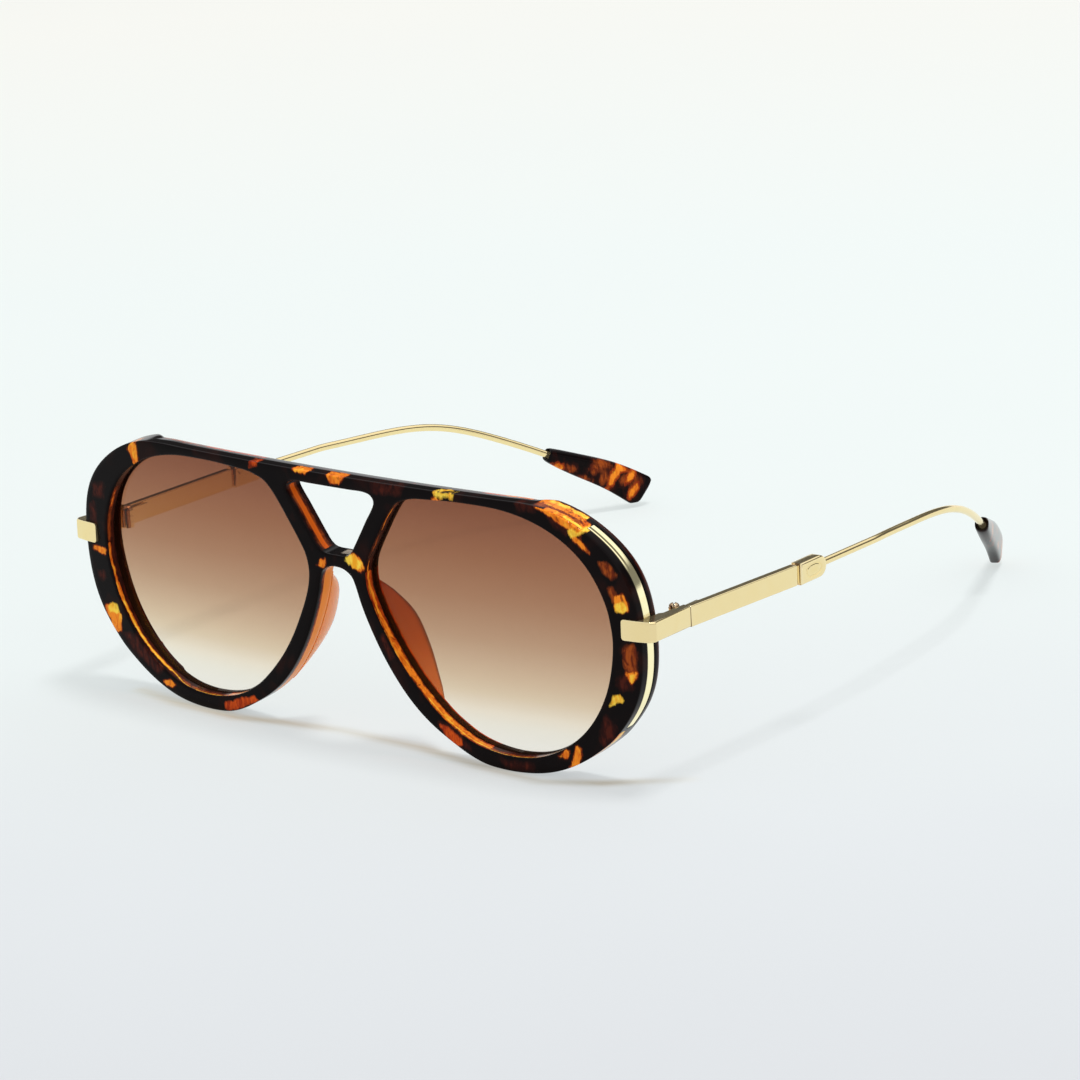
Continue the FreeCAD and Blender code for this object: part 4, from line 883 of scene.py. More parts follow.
def paint_front(obj):
    """Patches on the two faces, and layers of colour along the walls."""
    flat, depth = front_coordinates(obj)
    arc, height = flat.T
    side = np.abs(arc)
    thickness = thickness_at(arc)
    to_back = smooth_step(depth / thickness, 0.35, 0.75)
    face, back = face_cover(flat), back_cover(flat)
    cover = {colour: face[colour] * (1 - to_back) + back[colour] * to_back
             for colour in PATCH_COLOURS}
    cover["painted_reflection"] = np.zeros(len(flat))
    cover["amber"] = np.zeros(len(flat))

    def lay(where, colour, value):
        value = np.broadcast_to(value, len(flat))
        cover[colour][where] = np.maximum(cover[colour][where], value[where])

    def clear(where):
        for colour in PATCH_COLOURS:
            cover[colour][where] = 0.0

    to_lens = np.minimum(dist_to_loop(flat, LENS_LEFT), dist_to_loop(flat, LENS_RIGHT))
    to_outer, to_hole = dist_to_loop(flat, OUTER), dist_to_loop(flat, HOLE)
    past_edge = depth > 0.28               # behind the rounded front edge
    wobble = 0.10 * np.sin(height * 1.1 + arc * 0.7) + 0.06 * np.sin(height * 2.9 - arc * 1.7)

    # walls of the lens openings: amber bands between dark seams
    wall = (to_lens < 0.16) & past_edge & (depth < 3.94)
    rear = (to_lens < 2.0) & (depth >= 3.94) & (depth < thickness - 0.05)
    clear(wall | rear)
    before_lens = wall & (depth < 2.26)
    # beside the nose
    beside_nose = (side < 33.0) & (height < 35.5)
    nose = before_lens & beside_nose
    wide = smooth_step(side, 8.0, 12.0) * (1 - 0.75 * smooth_step(side, 27.0, 33.0))
    lay(nose, "orange", line(depth, centre=1.20 + wobble, half=0.30 + 0.45 * wide))
    lay(nose, "yellow", line(depth, centre=0.62 + 0.30 * np.sin(height * 0.21), half=0.14)
        * (0.50 + 0.45 * (height < 12)))
    lay(nose, "red", line(depth, centre=1.25, half=0.85))
    lay(nose, "brown", line(depth, centre=1.25, half=0.95))
    behind = (wall | rear) & beside_nose & (depth > 2.26)
    lay(behind, "brown", 0.72)
    lay(behind & (depth > 3.0), "red", 0.60)
    # beside the bridge
    bridge = before_lens & (side < 18.6) & (height >= 35.5)
    lay(bridge, "brown", line(depth, centre=1.0 + wobble, half=0.26)
        * (0.66 + 0.25 * np.sin(height * 0.8)))
    lay(bridge, "orange", line(depth, centre=0.95 + wobble, half=0.16)
        * (0.60 + 0.35 * np.sin(height * 0.55 + 1.0)))
    lay(bridge, "dark", line(depth, centre=1.2, half=1.1))
    # along the foot
    foot = 1 - smooth_step(side, 44.0, 49.0)
    bottom = before_lens & (side >= 33.0) & (side < 49.5) & (height < 12)
    lay(bottom, "yellow", line(depth, centre=1.40 - 0.9 * foot, half=0.15) * (1 - 0.35 * foot))
    lay(bottom, "brown", line(depth, centre=1.30 - 0.5 * foot, half=0.40))
    lay(bottom, "dark", line(depth, centre=1.3, half=1.0))
    # up the outer side
    flank = before_lens & (side >= 49.0) & (height < 46.0)
    low_centre = 0.72 + 0.045 * np.clip(18.5 - height, 0, 16) + 0.5 * wobble
    lay(flank & (height < 18.5), "yellow", line(depth, centre=low_centre, half=0.20))
    lay(flank & (height < 22.0), "orange", line(depth, centre=low_centre + 0.06, half=0.36))
    middle = flank & (height >= 18.5) & (height < 30.0)
    lay(middle, "orange", line(depth, centre=0.62 + wobble, half=0.26))
    lay(middle, "red", line(depth, centre=0.62 + wobble, half=0.40))
    lay(flank & (height >= 30.0) & (height < 36.5), "brown",
        line(depth, centre=0.9, half=0.5) * 0.8)
    lay(flank & (height >= 36.5) & (height < 42.5), "brown", line(depth, centre=1.0, half=0.45))
    lay(flank & (height >= 37.5) & (height < 41.5), "red",
        line(depth, centre=0.95 + wobble, half=0.30) * 0.95)
    lay(flank & (height >= 38.2) & (height < 41.0), "orange",
        line(depth, centre=0.90 + wobble, half=0.13))
    lay(flank, "dark", line(depth, centre=1.6, half=1.0))
    lay((wall | rear) & (side >= 33.0) & (depth > 2.26), "dark", 0.66)

    # walls of the bridge opening: dark, amber, dark
    hole = (to_hole < 0.10) & past_edge & (depth < thickness - 0.25)
    clear(hole)
    arms = hole & (side > 3.2) & (height < 50.4)
    lay(arms, "amber", line(depth, centre=2.00 + 0.3 * wobble, half=0.62))
    lay(arms, "brown", line(depth, centre=2.05, half=0.95))
    lay(arms, "dark", line(depth, centre=2.05, half=1.25))
    # painted reflection: pale on the saddle at the foot of the bridge opening
    lay(hole & (height < 40.4), "painted_reflection", np.minimum(line(depth, centre=2.7, half=1.15),
                                                   line(arc, centre=1.7, half=1.35)))
    # nose side of the rims: the amber layer that runs on into the pads
    gap = (to_outer < 0.8) & (side < 21.0) & (height < 34.6) & past_edge
    clear(gap)
    lay(gap, "amber", rise(depth, middle=1.55, width=0.8))
    lay(gap, "brown", rise(depth, middle=1.15, width=0.7))
    lay(gap, "dark", rise(depth, middle=0.85, width=0.5))
    # top of the wing on the wearer's left: amber layers
    top = (to_outer < 0.35) & (arc > 46.0) & (arc < 57.6) & (height > 49.0) & past_edge
    clear(top)
    start = rise(arc, middle=47.6, width=1.4)
    lay(top, "dark", start * (depth < 5.2))
    lay(top, "orange", np.minimum(line(depth, centre=0.95 + 0.5 * wobble, half=0.62),
                                  rise(arc, middle=50.2, width=1.4)))
    lay(top, "brown", np.minimum(line(depth, centre=1.9 + wobble, half=0.80), start) * 0.9)
    lay(top, "orange", np.minimum(line(depth, centre=3.60 + 0.6 * wobble, half=1.15), start))
    lay(top, "yellow", np.minimum(line(depth, centre=4.0 + wobble, half=0.70),
                                  rise(arc, middle=48.8, width=1.2)))
    lay(top, "yellow", np.minimum(line(depth, centre=0.75 + wobble, half=0.34),
                                  rise(arc, middle=54.0, width=1.2)))
    # a thin warm line along the rear of the brow
    brow = ((to_outer < 0.6) & (side < 46.0) & (height > 50.0)
            & (depth > thickness - 1.5) & (depth < thickness - 0.06))
    clear(brow)
    lay(brow & (arc < -22.0) & (arc > -46.0), "brown", 0.72)
    lay(brow & (arc < -18.0) & (arc > -34.0), "red", 0.62)
    lay(brow & (arc > 34.0), "red", 0.70)
    lay(brow & (arc > 39.0), "orange", 0.62)
    # below the strip on the wearer's left
    low = (to_outer < 0.35) & (arc > 52.0) & (height < 11.0) & past_edge
    clear(low)
    lay(low, "yellow", np.minimum(line(depth, centre=1.6 + wobble, half=0.60),
                                  rise(height, middle=5.6, width=1.5)))
    lay(low, "orange", np.minimum(line(depth, centre=1.2, half=1.05),
                                  rise(height, middle=4.6, width=1.5)))
    # rear edge of the wings: dark
    wing_edge = (to_outer < 0.3) & (side > 57.0) & (depth > 4.1)
    clear(wing_edge)
    lay(wing_edge, "dark", line(depth, centre=5.5, half=0.5))
    write_tortoise(obj, cover)


paint_front(front_frame())

# ------------------------------------------------------------------ lenses
LENS_FRONT, LENS_BACK = 2.30, 3.90         # depths of the two faces
LENS_MARGIN = 1.25                         # inset of the last ring before the fill
# inset from the opening, depth, rim value
LENS_FRONT_RINGS = [(-0.10, 2.85, 1.0), (-0.08, 2.32, 1.0), (0.10, LENS_FRONT, 1.0),
                    (0.28, LENS_FRONT, 0.0), (LENS_MARGIN, LENS_FRONT, 0.0)]
LENS_BACK_RINGS = [(-0.10, 3.35, 1.0), (-0.08, 3.88, 1.0), (0.10, LENS_BACK, 0.0),
                   (LENS_MARGIN, LENS_BACK, 0.0)]


def lens(side_name, opening):
    loop = oriented(opening, True)
    normals = loop_normals(loop)           # to the left: into the lens
    n = len(loop)
    verts, rim, starts = [], [], []
    for inset, depth, value in LENS_FRONT_RINGS + LENS_BACK_RINGS:
        starts.append(len(verts))
        verts += [front_point(x, z, depth) for x, z in loop + normals * inset]
        rim += [value] * n
    front_starts = starts[:len(LENS_FRONT_RINGS)]
    back_starts = starts[len(LENS_FRONT_RINGS):]
    faces = bands(front_starts, n)
    faces += bands([front_starts[0]] + back_starts, n, order=(1, 0, 3, 2))

    ring = loop + normals * LENS_MARGIN
    points = [Vector((x, z)) for x, z in ring]
    edges = [(i, (i + 1) % n) for i in range(n)]
    front_ids = list(cap(front_starts[-1], n))
    back_ids = list(cap(back_starts[-1], n))
    columns = np.arange(ring[:, 0].min(), ring[:, 0].max(), 1.9)
    rows = np.arange(ring[:, 1].min(), ring[:, 1].max(), 1.9)
    grid = np.array([(x, z) for z in rows for x in columns])
    grid = grid[inside(ring, grid)]
    for x, z in grid[dist_to_loop(grid, ring) > 0.6]:
        points.append(Vector((x, z)))
        front_ids.append(len(verts))
        back_ids.append(len(verts) + 1)
        verts += [front_point(x, z, LENS_FRONT), front_point(x, z, LENS_BACK)]
        rim += [0.0, 0.0]
    faces += fill_faces(points, edges, ring, (), front_ids, back_ids)
    obj = add_part("gradient_lens_" + side_name, verts, faces, LENS_GLASS, "front",
                   "lens_" + side_name, sharp=60.0)
    write_values(obj.data, "rim", rim)


lens("left", LENS_LEFT)
lens("right", LENS_RIGHT)

# ------------------------------------------------------------------ inlaid strips
# section: inset from the outline, depth, seam value (painted shade where the strip's edges run
# into its slot), value of the dark middle near the top (a painted dark reflection)
STRIP_SECTION = [
    (0.80, 1.90, 1, 0), (0.16, 1.87, 1, 0), (0.09, 1.93, 1, 0), (0.06, 2.05, 1, 0),
    (0.05, 2.13, 0, 0), (0.045, 2.35, 0, 0), (0.04, 2.45, 0, 1), (0.04, 2.85, 0, 1),
    (0.04, 2.95, 0, 0), (0.04, 3.5, 0, 0), (0.05, 3.85, 0, 0), (0.06, 3.93, 1, 0),
    (0.09, 4.07, 1, 0), (0.16, 4.13, 1, 0), (0.80, 4.10, 1, 0)]


def strip(side_name, side):
    run = np.array([p for p, slotted in zip(OUTER, IN_SLOT) if slotted and p[0] * side > 0])
    run = run[np.argsort(-run[:, 1])]      # from top to bottom
    d = np.gradient(run, axis=0)
    d /= np.linalg.norm(d, axis=1)[:, None]
    normals = np.stack([d[:, 1], -d[:, 0]], 1)
    lens_middle = np.array([40.0 * side, 28.0])
    normals = normals * np.sign(((lens_middle - run) * normals).sum(1))[:, None]
    verts, painted_shading = [], []
    for point, normal in zip(run, normals):
        high = smooth_step(point[1], 42.0, 44.5)
        for inset, depth, seam, middle in STRIP_SECTION:
            x, z = point + normal * inset
            verts.append(front_point(x, z, depth))
            # painted shade at the seams and a painted dark reflection in the middle near the top
            painted_shading.append((seam, high * middle, 0, 1))
    m = len(STRIP_SECTION)
    last = (len(run) - 1) * m
    faces = bands(range(0, last + 1, m), m) + [cap(0, m), cap(last, m)[::-1]]
    obj = add_part("gold_inlay_" + side_name, verts, faces, STRIP_GOLD, "front",
                   "trim_strip_" + side_name, sharp=38.0)
    write_colours(obj.data, "seam", painted_shading)


for name, side in SIDES:
    strip(name, side)

# ------------------------------------------------------------------ nose pads
# free edge of a pad: arc, height, depth
PAD_EDGE = [(5.64, 33.63, 3.59), (6.7, 29.32, 7.66), (9.04, 24.62, 10.1),
            (11.73, 18.6, 10.23), (15.33, 12.68, 7.98), (20.03, 7.52, 4.15)]
PAD_TOP, PAD_LOW, PAD_STATIONS = 32.6, 8.6, 49
PAD_ROOT_DEPTH = BROW_THICK - 0.35         # the root is sunk into the front
pad_run = spline(PAD_EDGE, 0.25, False)
nose_run = spline(NOSE_SIDE, 0.25, False)


def at_height(run, height, column):
    order = np.argsort(run[:, 1])
    return float(np.interp(height, run[order, 1], run[order, column]))


def pad_section(height):
    """(arc, depth, edge value) round the pad at a height."""
    edge_arc, edge_depth = at_height(pad_run, height, 0), at_height(pad_run, height, 2)
    nose_arc = at_height(nose_run, height, 0) + 0.10
    reach = max(0.25, edge_depth - PAD_ROOT_DEPTH)
    thick = 1.15 * min(1.0, 0.5 + reach / 6.0)
    lens_arc = nose_arc + min(2.3, 0.9 + reach * 0.33)

    def hollow(t):
        return 0.30 * t + 0.70 * t * t

    def tone(t):
        return smooth_step(t, 0.86, 1.0) * 0.9

    section = []
    for t in np.linspace(0, 1, 9):         # nose side, a gentle hollow
        section.append((nose_arc + (edge_arc - nose_arc) * hollow(t),
                        PAD_ROOT_DEPTH + reach * t, tone(t)))
    for a in map(math.radians, (35, 70, 110, 145)):    # rounded free edge
        section.append((edge_arc + thick * 0.5 - thick * 0.5 * math.cos(a),
                        edge_depth + thick * 0.30 * math.sin(a) - 0.05, tone(1.0)))
    for t in np.linspace(1, 0, 9):         # lens side
        section.append((lens_arc + (edge_arc + thick - lens_arc) * hollow(t),
                        PAD_ROOT_DEPTH + reach * (t * 0.97), max(tone(t), 0.62 - 0.10 * t)))
    return section


def nose_pad(side_name, side):
    verts, edge, starts = [], [], []
    for height in np.linspace(PAD_TOP, PAD_LOW, PAD_STATIONS):
        starts.append(len(verts))
        for arc, depth, tone in pad_section(height):
            verts.append(front_point(side * arc, height, depth))
            edge.append(tone)
    m = starts[1]
    faces = bands(starts, m, order=(0, 1, 2, 3) if side > 0 else (3, 2, 1, 0))
    faces += [cap(0, m), cap(starts[-1], m)[::-1]]
    obj = add_part("amber_nose_pad_" + side_name, verts, faces, PAD_ACETATE, "front",
                   "nose_pad_" + side_name, sharp=55.0)
    write_values(obj.data, "edge", edge)


for name, side in SIDES:
    nose_pad(name, side)

# ------------------------------------------------------------------ endpieces
# plan of the bent arm on the wearer's left: x, y behind the front's foot
ARM = [(65.3, 1.77), (68.6, 2.15), (71.2, 2.75), (72.0, 3.75), (70.93, 15.65),
       (69.33, 15.65), (69.33, 9.4), (68.82, 8.7), (68.82, 3.45), (65.3, 2.97)]
ARM_PIVOT_Y, ARM_Z = 3.7, 32.0
ARM_SLOPE = math.radians(-1.9)
ARM_HEIGHT, ARM_ROUND = 3.95, 0.6          # rounding of its ends, seen from the front


def endpiece(side_name, side):
    slope = Matrix.Rotation(ARM_SLOPE, 3, "X")
    upper = []                             # height above the middle, cut-back of the ends
    for a in map(math.radians, (90, 72, 54, 36, 18, 0)):
        upper.append((ARM_HEIGHT / 2 - ARM_ROUND + ARM_ROUND * math.sin(a),
                      ARM_ROUND * (1 - math.cos(a))))
    levels = [(-z, cut) for z, cut in upper] + upper[::-1]
    verts = []
    for z, cut in levels:
        for x, y in ARM:
            if x < 65.31:
                x += cut
            elif x > 71.0 and y < 4.0:
                x -= cut * (0.85 if x > 71.5 else 0.45)
            place = slope @ Vector((side * x, y - ARM_PIVOT_Y, z))
            verts.append((place + Vector((0, ARM_PIVOT_Y - FRONT_AHEAD, ARM_Z))) * MM)
    n = len(ARM)
    starts = range(0, len(verts), n)
    faces = [cap(0, n)[::-1], cap(starts[-1], n)] + bands(starts, n)
    add_part("gold_endpiece_" + side_name, verts, faces, GOLD, "front",
             "endpiece_" + side_name, sharp=40.0, bevel=(0.18, 22.0))


for name, side in SIDES:
    endpiece(name, side)

# ------------------------------------------------------------------ temples
# Places are (x, y behind the front's foot, z) on the wearer's left.
BAR_START, BAR_END = (70.13, 15.75, 31.42), (71.1, 48.25, 30.5)
BAR_LENGTH, BAR_WIDTH, BAR_HEIGHT = 32.5, 1.6, 4.05


def on_side(point, side):
    return Vector((side * point[0], point[1] - FRONT_AHEAD, point[2]))


def axes_along(d):
    """Sideways and upward axes for a run along d, up as near +Z as it can be."""
    d = d.normalized()
    up = (Vector((0, 0, 1)) - d * d.z).normalized()
    return d.cross(up).normalized(), up


def tangent(points, i):
    return (points[min(i + 1, len(points) - 1)] - points[max(i - 1, 0)]).normalized()


def rectangle(half_width, half_height):
    return ((-half_width, -half_height), (half_width, -half_height),
            (half_width, half_height), (-half_width, half_height))


def bar(side_name, side, body):
    start = on_side(BAR_START, side)
    d = (on_side(BAR_END, side) - start).normalized()
    out, up = axes_along(d)
    verts = []
    for distance in (0, 0.6, 8, 16, 24, 31.9, BAR_LENGTH):
        centre = start + d * distance
        for x, z in rectangle(BAR_WIDTH / 2, BAR_HEIGHT / 2):
            verts.append((centre + out * x + up * z) * MM)
    add_part("gold_bar_" + side_name, verts, prism(range(0, len(verts), 4), 4), GOLD, body,
             "temple_bar_" + side_name, sharp=40.0, bevel=(0.22, 30.0))


FERRULE_START = (71.12, BAR_END[1] + 0.6, 30.5)
FERRULE_TOWARDS = (71.0, 57.3, 30.4)
FERRULE_LENGTH, FERRULE_RADIUS = 8.4, 2.125
FERRULE_HALF_THICK = 1.3
FERRULE_EDGE = [(0.42, 0.0), (0.20, 0.07), (0.06, 0.20), (0.0, 0.42)]   # inset, below the face
OVAL_MIDDLE = 4.0
# engraved oval: half length, half height, depth below the face
OVAL = [(2.75, 1.45, 0.0), (2.62, 1.32, 0.075), (2.36, 1.10, 0.075), (2.22, 0.98, 0.0),
        (1.35, 0.55, 0.035), (0.5, 0.2, 0.05)]


def ferrule(side_name, side, body):
    """A plate with a round rear end, an engraved oval on its outer face and a neck in front."""
    start = on_side(FERRULE_START, side)
    d = (on_side(FERRULE_TOWARDS, side) - start).normalized()
    out, up = axes_along(d)
    if out.x * side < 0:
        out = -out
    radius, half_thick = FERRULE_RADIUS, FERRULE_HALF_THICK
    round_at = FERRULE_LENGTH - radius
    straight = (0, 1.5, 3.0, 4.6)
    outline = [(y, -radius) for y in straight]
    for k in range(25):
        angle = -math.pi / 2 + math.pi * k / 24
        outline.append((round_at + radius * math.cos(angle), radius * math.sin(angle)))
    outline += [(y, radius) for y in reversed(straight)]
    n = len(outline)
    verts = []

    def place(y, z, x):
        verts.append((start + d * y + up * z + out * x) * MM)

    plate_rows = [(inset, below - half_thick) for inset, below in FERRULE_EDGE]
    plate_rows += [(inset, half_thick - below) for inset, below in reversed(FERRULE_EDGE)]
    for inset, x in plate_rows:
        for y, z in outline:
            if y > round_at:
                place(y - inset * (y - round_at) / radius,
                      z - math.copysign(inset, z) * abs(z) / radius, x)
            else:
                place(y + (inset if y < 1e-6 else 0), z - math.copysign(inset, z), x)
    plate = range(0, len(verts), n)
    for half_length, half_height, below in OVAL:
        for y, z in outline:
            angle = math.atan2(z, y - OVAL_MIDDLE)
            place(OVAL_MIDDLE + half_length * math.cos(angle), half_height * math.sin(angle),
                  half_thick - below)
    face = range(plate[-1], len(verts), n)
    neck = len(verts)
    for y in (-0.62, 0.3):
        for x, z in rectangle(0.5, 1.65):
            place(y, z, x)
    faces = bands(plate, n) + [cap(0, n)[::-1]] + bands(face, n) + [cap(face[-1], n)]
    faces += prism([neck, neck + 4], 4)
    add_part("gold_ferrule_" + side_name, verts, faces, GOLD, body,
             "temple_ferrule_" + side_name, sharp=32.0)


WIRE_START, WIRE_BEND = (71.12, 52.2, 30.55), (70.33, 75.0, 29.88)
WIRE_RUN = [(69.72, 80.4, 29.6), (68.62, 89.9, 29.0), (67.35, 99.5, 28.2), (66.0, 107.3, 26.9),
            (64.2, 114.6, 24.7), (61.85, 121.5, 21.75), (59.1, 127.9, 18.55)]
TIP_RUN = [(56.3, 133.8, 15.35), (53.1, 140.2, 11.6), (49.75, 146.9, 7.55), (46.4, 153.6, 2.12)]
WIRE_RADIUS, WIRE_SIDES = 0.75, 28


def wire_path():
    """Straight from inside the ferrule, then curving down to end within the tip."""
    d = np.array(WIRE_BEND) - np.array(WIRE_START)
    d /= np.linalg.norm(d)
    head = np.array([np.array(WIRE_START) + d * t for t in np.arange(3.5, 22.8, 1.2)])
    tail = cubic_spline([WIRE_BEND] + WIRE_RUN + TIP_RUN[:3], 0.6, d)
    end = 0.45 * np.array(TIP_RUN[1]) + 0.55 * np.array(TIP_RUN[2])
    cut = int(np.argmin(np.linalg.norm(tail - end, axis=1)))
    return np.vstack([head, tail[:cut]])


WIRE = wire_path()


def wire(side_name, side, body):
    points = [on_side(p, side) for p in WIRE]
    verts = []
    for i, p in enumerate(points):
        out, up = axes_along(tangent(points, i))
        radius = WIRE_RADIUS * 0.9 if i in (0, len(points) - 1) else WIRE_RADIUS
        for k in range(WIRE_SIDES):
            a = 2 * math.pi * k / WIRE_SIDES
            verts.append((p + out * (math.cos(a) * radius) + up * (math.sin(a) * radius)) * MM)
    add_part("gold_wire_" + side_name, verts, prism(range(0, len(verts), WIRE_SIDES), WIRE_SIDES),
             GOLD, body, "temple_wire_" + side_name, sharp=60.0)


TIP_SIDES = 40
TIP_START_HEIGHT, TIP_END_HEIGHT = 2.75, 7.3
TIP_START_WIDTH, TIP_END_WIDTH = 2.9, 2.5
# colour spots on the tips: distance along, height across, half length, half height
TIP_SPOTS = {
    1: {"bright": [(7.5, 0.2, 1.3, 1.4), (24.2, -0.4, 0.9, 2.2), (18.0, -1.0, 1.6, 0.7),
                   (26.2, 0.6, 1.2, 1.6)],
        "brown": [(5.2, 0.4, 1.2, 1.2), (15.0, 0.8, 2.0, 0.9), (21.2, 0.5, 1.4, 1.4),
                  (11.5, -0.9, 1.4, 0.9), (2.6, 0.9, 1.4, 0.7)]},
    -1: {"bright": [(16.9, 0.3, 0.95, 3.6), (20.4, 1.2, 1.0, 1.5), (3.2, -1.3, 1.6, 0.7),
                    (22.8, -0.6, 1.0, 1.6), (18.0, 1.9, 1.4, 0.6)],
         "brown": [(10.3, -1.9, 2.0, 0.6), (19.3, 0.4, 0.8, 1.0), (22.4, 0.6, 1.3, 1.2),
                   (13.0, 1.4, 1.8, 0.8), (6.0, -0.9, 1.6, 0.7), (15.0, -0.8, 1.2, 1.0),
                   (11.6, 0.2, 1.4, 0.8)]},
}


def tip_lift(fraction):
    """How far the section's middle lies above the run."""
    return 0.95 * fraction ** 1.5


def tip_section(fraction):
    """Half height, half width and squareness at a fraction of the length."""
    grown = min(1.0, fraction * 1.04) ** 0.65
    return ((TIP_START_HEIGHT + (TIP_END_HEIGHT - TIP_START_HEIGHT) * grown) / 2,
            (TIP_START_WIDTH + (TIP_END_WIDTH - TIP_START_WIDTH) * fraction) / 2,
            2.6 + 2.2 * fraction)


def quarter_drop(x):
    """0 to 1 along a quarter circle."""
    return 1 - math.sqrt(max(0.0, 1 - x * x))


def tip(side_name, side, body):
    points = [on_side(p, side) for p in cubic_spline(TIP_RUN, 0.35)]
    steps = [(b - a).length for a, b in zip(points, points[1:])]
    along = np.concatenate([[0], np.cumsum(steps)])
    total = along[-1]
    verts = []

    def ring(centre, d, top, low, half_width, power):
        out, up = axes_along(d)
        for k in range(TIP_SIDES):
            a = 2 * math.pi * k / TIP_SIDES
            c, s = math.cos(a), math.sin(a)
            x = math.copysign(abs(c) ** (2.0 / power), c) * half_width
            z = math.copysign(abs(s) ** (2.0 / power), s)
            z = z * (top if z > 0 else low)
            verts.append((centre + out * x + up * z) * MM)

    # scooped mouth round the wire: distance inside, scale
    d = tangent(points, 0)
    half_height, half_width, power = tip_section(0)
    for within, scale in ((1.25, 0.56), (0.75, 0.66), (0.28, 0.82), (0.0, 0.93)):
        ring(points[0] + d * within, d, half_height * scale, half_height * scale,
             half_width * scale, power)
    # body, rounded off over its last stretch
    for i, (p, distance) in enumerate(zip(points, along)):
        d = tangent(points, i)
        half_height, half_width, power = tip_section(distance / total)
        grow = 0.965 + 0.035 * smooth_step(distance, -0.05, 0.30)
        top = low = half_height * grow
        half_width *= grow
        rest = total - distance
        if rest < 1.3:
            top -= 1.0 * quarter_drop(1 - rest / 1.3)
        if rest < 1.9:
            low -= 1.35 * (1 - rest / 1.9) ** 1.25
        if rest < 0.55:
            half_width -= 0.45 * quarter_drop(1 - rest / 0.55)
        ring(p + axes_along(d)[1] * tip_lift(distance / total), d, top, low, half_width, power)
    # rounded end cap: scale, distance beyond the last ring
    last_ring = verts[-TIP_SIDES:]
    middle = sum(last_ring, Vector((0, 0, 0))) / TIP_SIDES
    for scale, beyond in ((0.90, 0.10), (0.6, 0.18), (0.25, 0.20)):
        verts += [middle + (v - middle) * scale + d * beyond * MM for v in last_ring]
    starts = range(0, len(verts), TIP_SIDES)
    faces = bands(starts, TIP_SIDES) + [cap(starts[-1], TIP_SIDES), cap(0, TIP_SIDES)[::-1]]
    obj = add_part("acetate_tip_" + side_name, verts, faces, TIP_ACETATE, body,
                   "temple_tip_" + side_name, sharp=60.0)
    paint_tip(obj, side, points, along)


def paint_tip(obj, side, points, along):
    total = along[-1]
    cover = {colour: [] for colour in PATCH_COLOURS}
    for vertex in obj.data.vertices:
        place = vertex.co * 1000
        i = int(np.argmin([(place - p).length for p in points]))
        distance = along[i]
        _, up = axes_along(tangent(points, i))
        height = ((place - points[i]).dot(up) - tip_lift(distance / total)) / 1.32
        level = {}
        for kind, spots in TIP_SPOTS[side].items():
            level[kind] = max([0.0] + [
                1.0 - 0.55 * math.hypot((distance - spot_along) / half_length,
                                        (height - spot_height) / half_height)
                for spot_along, spot_height, half_length, half_height in spots])
        bright, either = level["bright"], max(level.values())
        cover["orange"].append(bright - 0.10)
        cover["yellow"].append(bright - 0.72)
        cover["brown"].append(either)
        cover["red"].append(bright + 0.05)
        cover["dark"].append(either + 0.16)
    write_tortoise(obj, {colour: np.clip(values, 0, 1) for colour, values in cover.items()})


for name, side in SIDES:
    for piece in (bar, ferrule, wire, tip):
        piece(name, side, "temple_" + name)

# ------------------------------------------------------------------ hinge parts stay the CAD's own
for name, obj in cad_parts.items():
    if obj.hide_render:
        continue
    obj.data.materials.clear()
    obj.data.materials.append(SCREW_GOLD if "screw" in name else GOLD)
    for polygon in obj.data.polygons:
        polygon.material_index = 0
    bevel = obj.modifiers.new("edges", "BEVEL")
    bevel.width = 0.08 * MM
    bevel.segments = 2
    bevel.limit_method = "ANGLE"
    bevel.angle_limit = math.radians(40)

# ------------------------------------------------------------------ floor
# painted shadow along the front's foot on the floor, tinted warm where light comes through the
# lenses: x and y in mm, 8-bit sRGB colour
FOOT_SHADOW = [
    (-58.0, -73.0, 226, 222, 214), (-46.0, -75.5, 216, 208, 194),
    (-30.0, -76.5, 208, 196, 180), (-20.0, -74.5, 205, 194, 180),
    (-6.0, -72.5, 220, 218, 212), (14.0, -73.0, 210, 202, 190),
    (30.0, -75.5, 198, 190, 178), (46.0, -77.0, 212, 210, 204),
    (57.0, -72.0, 196, 188, 174), (70.0, -62.5, 230, 230, 228)]
# the marks named beside this are the painted shadow along the front's foot
UNSHADOWED = (231, 233, 234)                 # 8-bit sRGB colour of the floor round the marks
SHADOW_SPREAD = 1.6
# painted fall-off of light: the floor is darker near the camera and lighter far off; distance from
# FLOOR_CENTRE over FLOOR_SPAN, colour
FLOOR_STOPS = [(0.38, (0.725, 0.746, 0.768)), (0.44, (0.765, 0.795, 0.812)),
               (0.52, (0.830, 0.885, 0.873)), (0.66, (0.875, 0.928, 0.910)),
               (0.84, (0.970, 0.970, 0.922)), (1.0, (0.975, 0.972, 0.925))]
FLOOR_CENTRE, FLOOR_SPAN = (0.622, -0.783), 2.0        # metres


def linear(srgb):
    v = np.asarray(srgb, float) / 255.0
    return np.where(v > 0.04045, ((v + 0.055) / 1.055) ** 2.4, v / 12.92)


def painted_floor_shadow(points):
    """Factor per point that darkens and tints the floor along the run of the painted shadow."""
    run = np.array(FOOT_SHADOW, float)
    nearest = np.full(len(points), 1e9)
    tint = np.ones((len(points), 3))
    for a, b in zip(run, run[1:]):
        d = b[:2] - a[:2]
        t = np.clip(((points - a[:2]) @ d) / (d @ d), 0, 1)
        away = np.hypot(*(points - a[:2] - t[:, None] * d).T)
        colour = linear(a[2:]) * (1 - t)[:, None] + linear(b[2:]) * t[:, None]
        closer = away < nearest
        nearest[closer] = away[closer]
        tint[closer] = colour[closer]
    weight = np.exp(-(nearest / SHADOW_SPREAD) ** 2)[:, None]
    return 1 - weight * (1 - np.minimum(1.0, tint / linear(UNSHADOWED)))


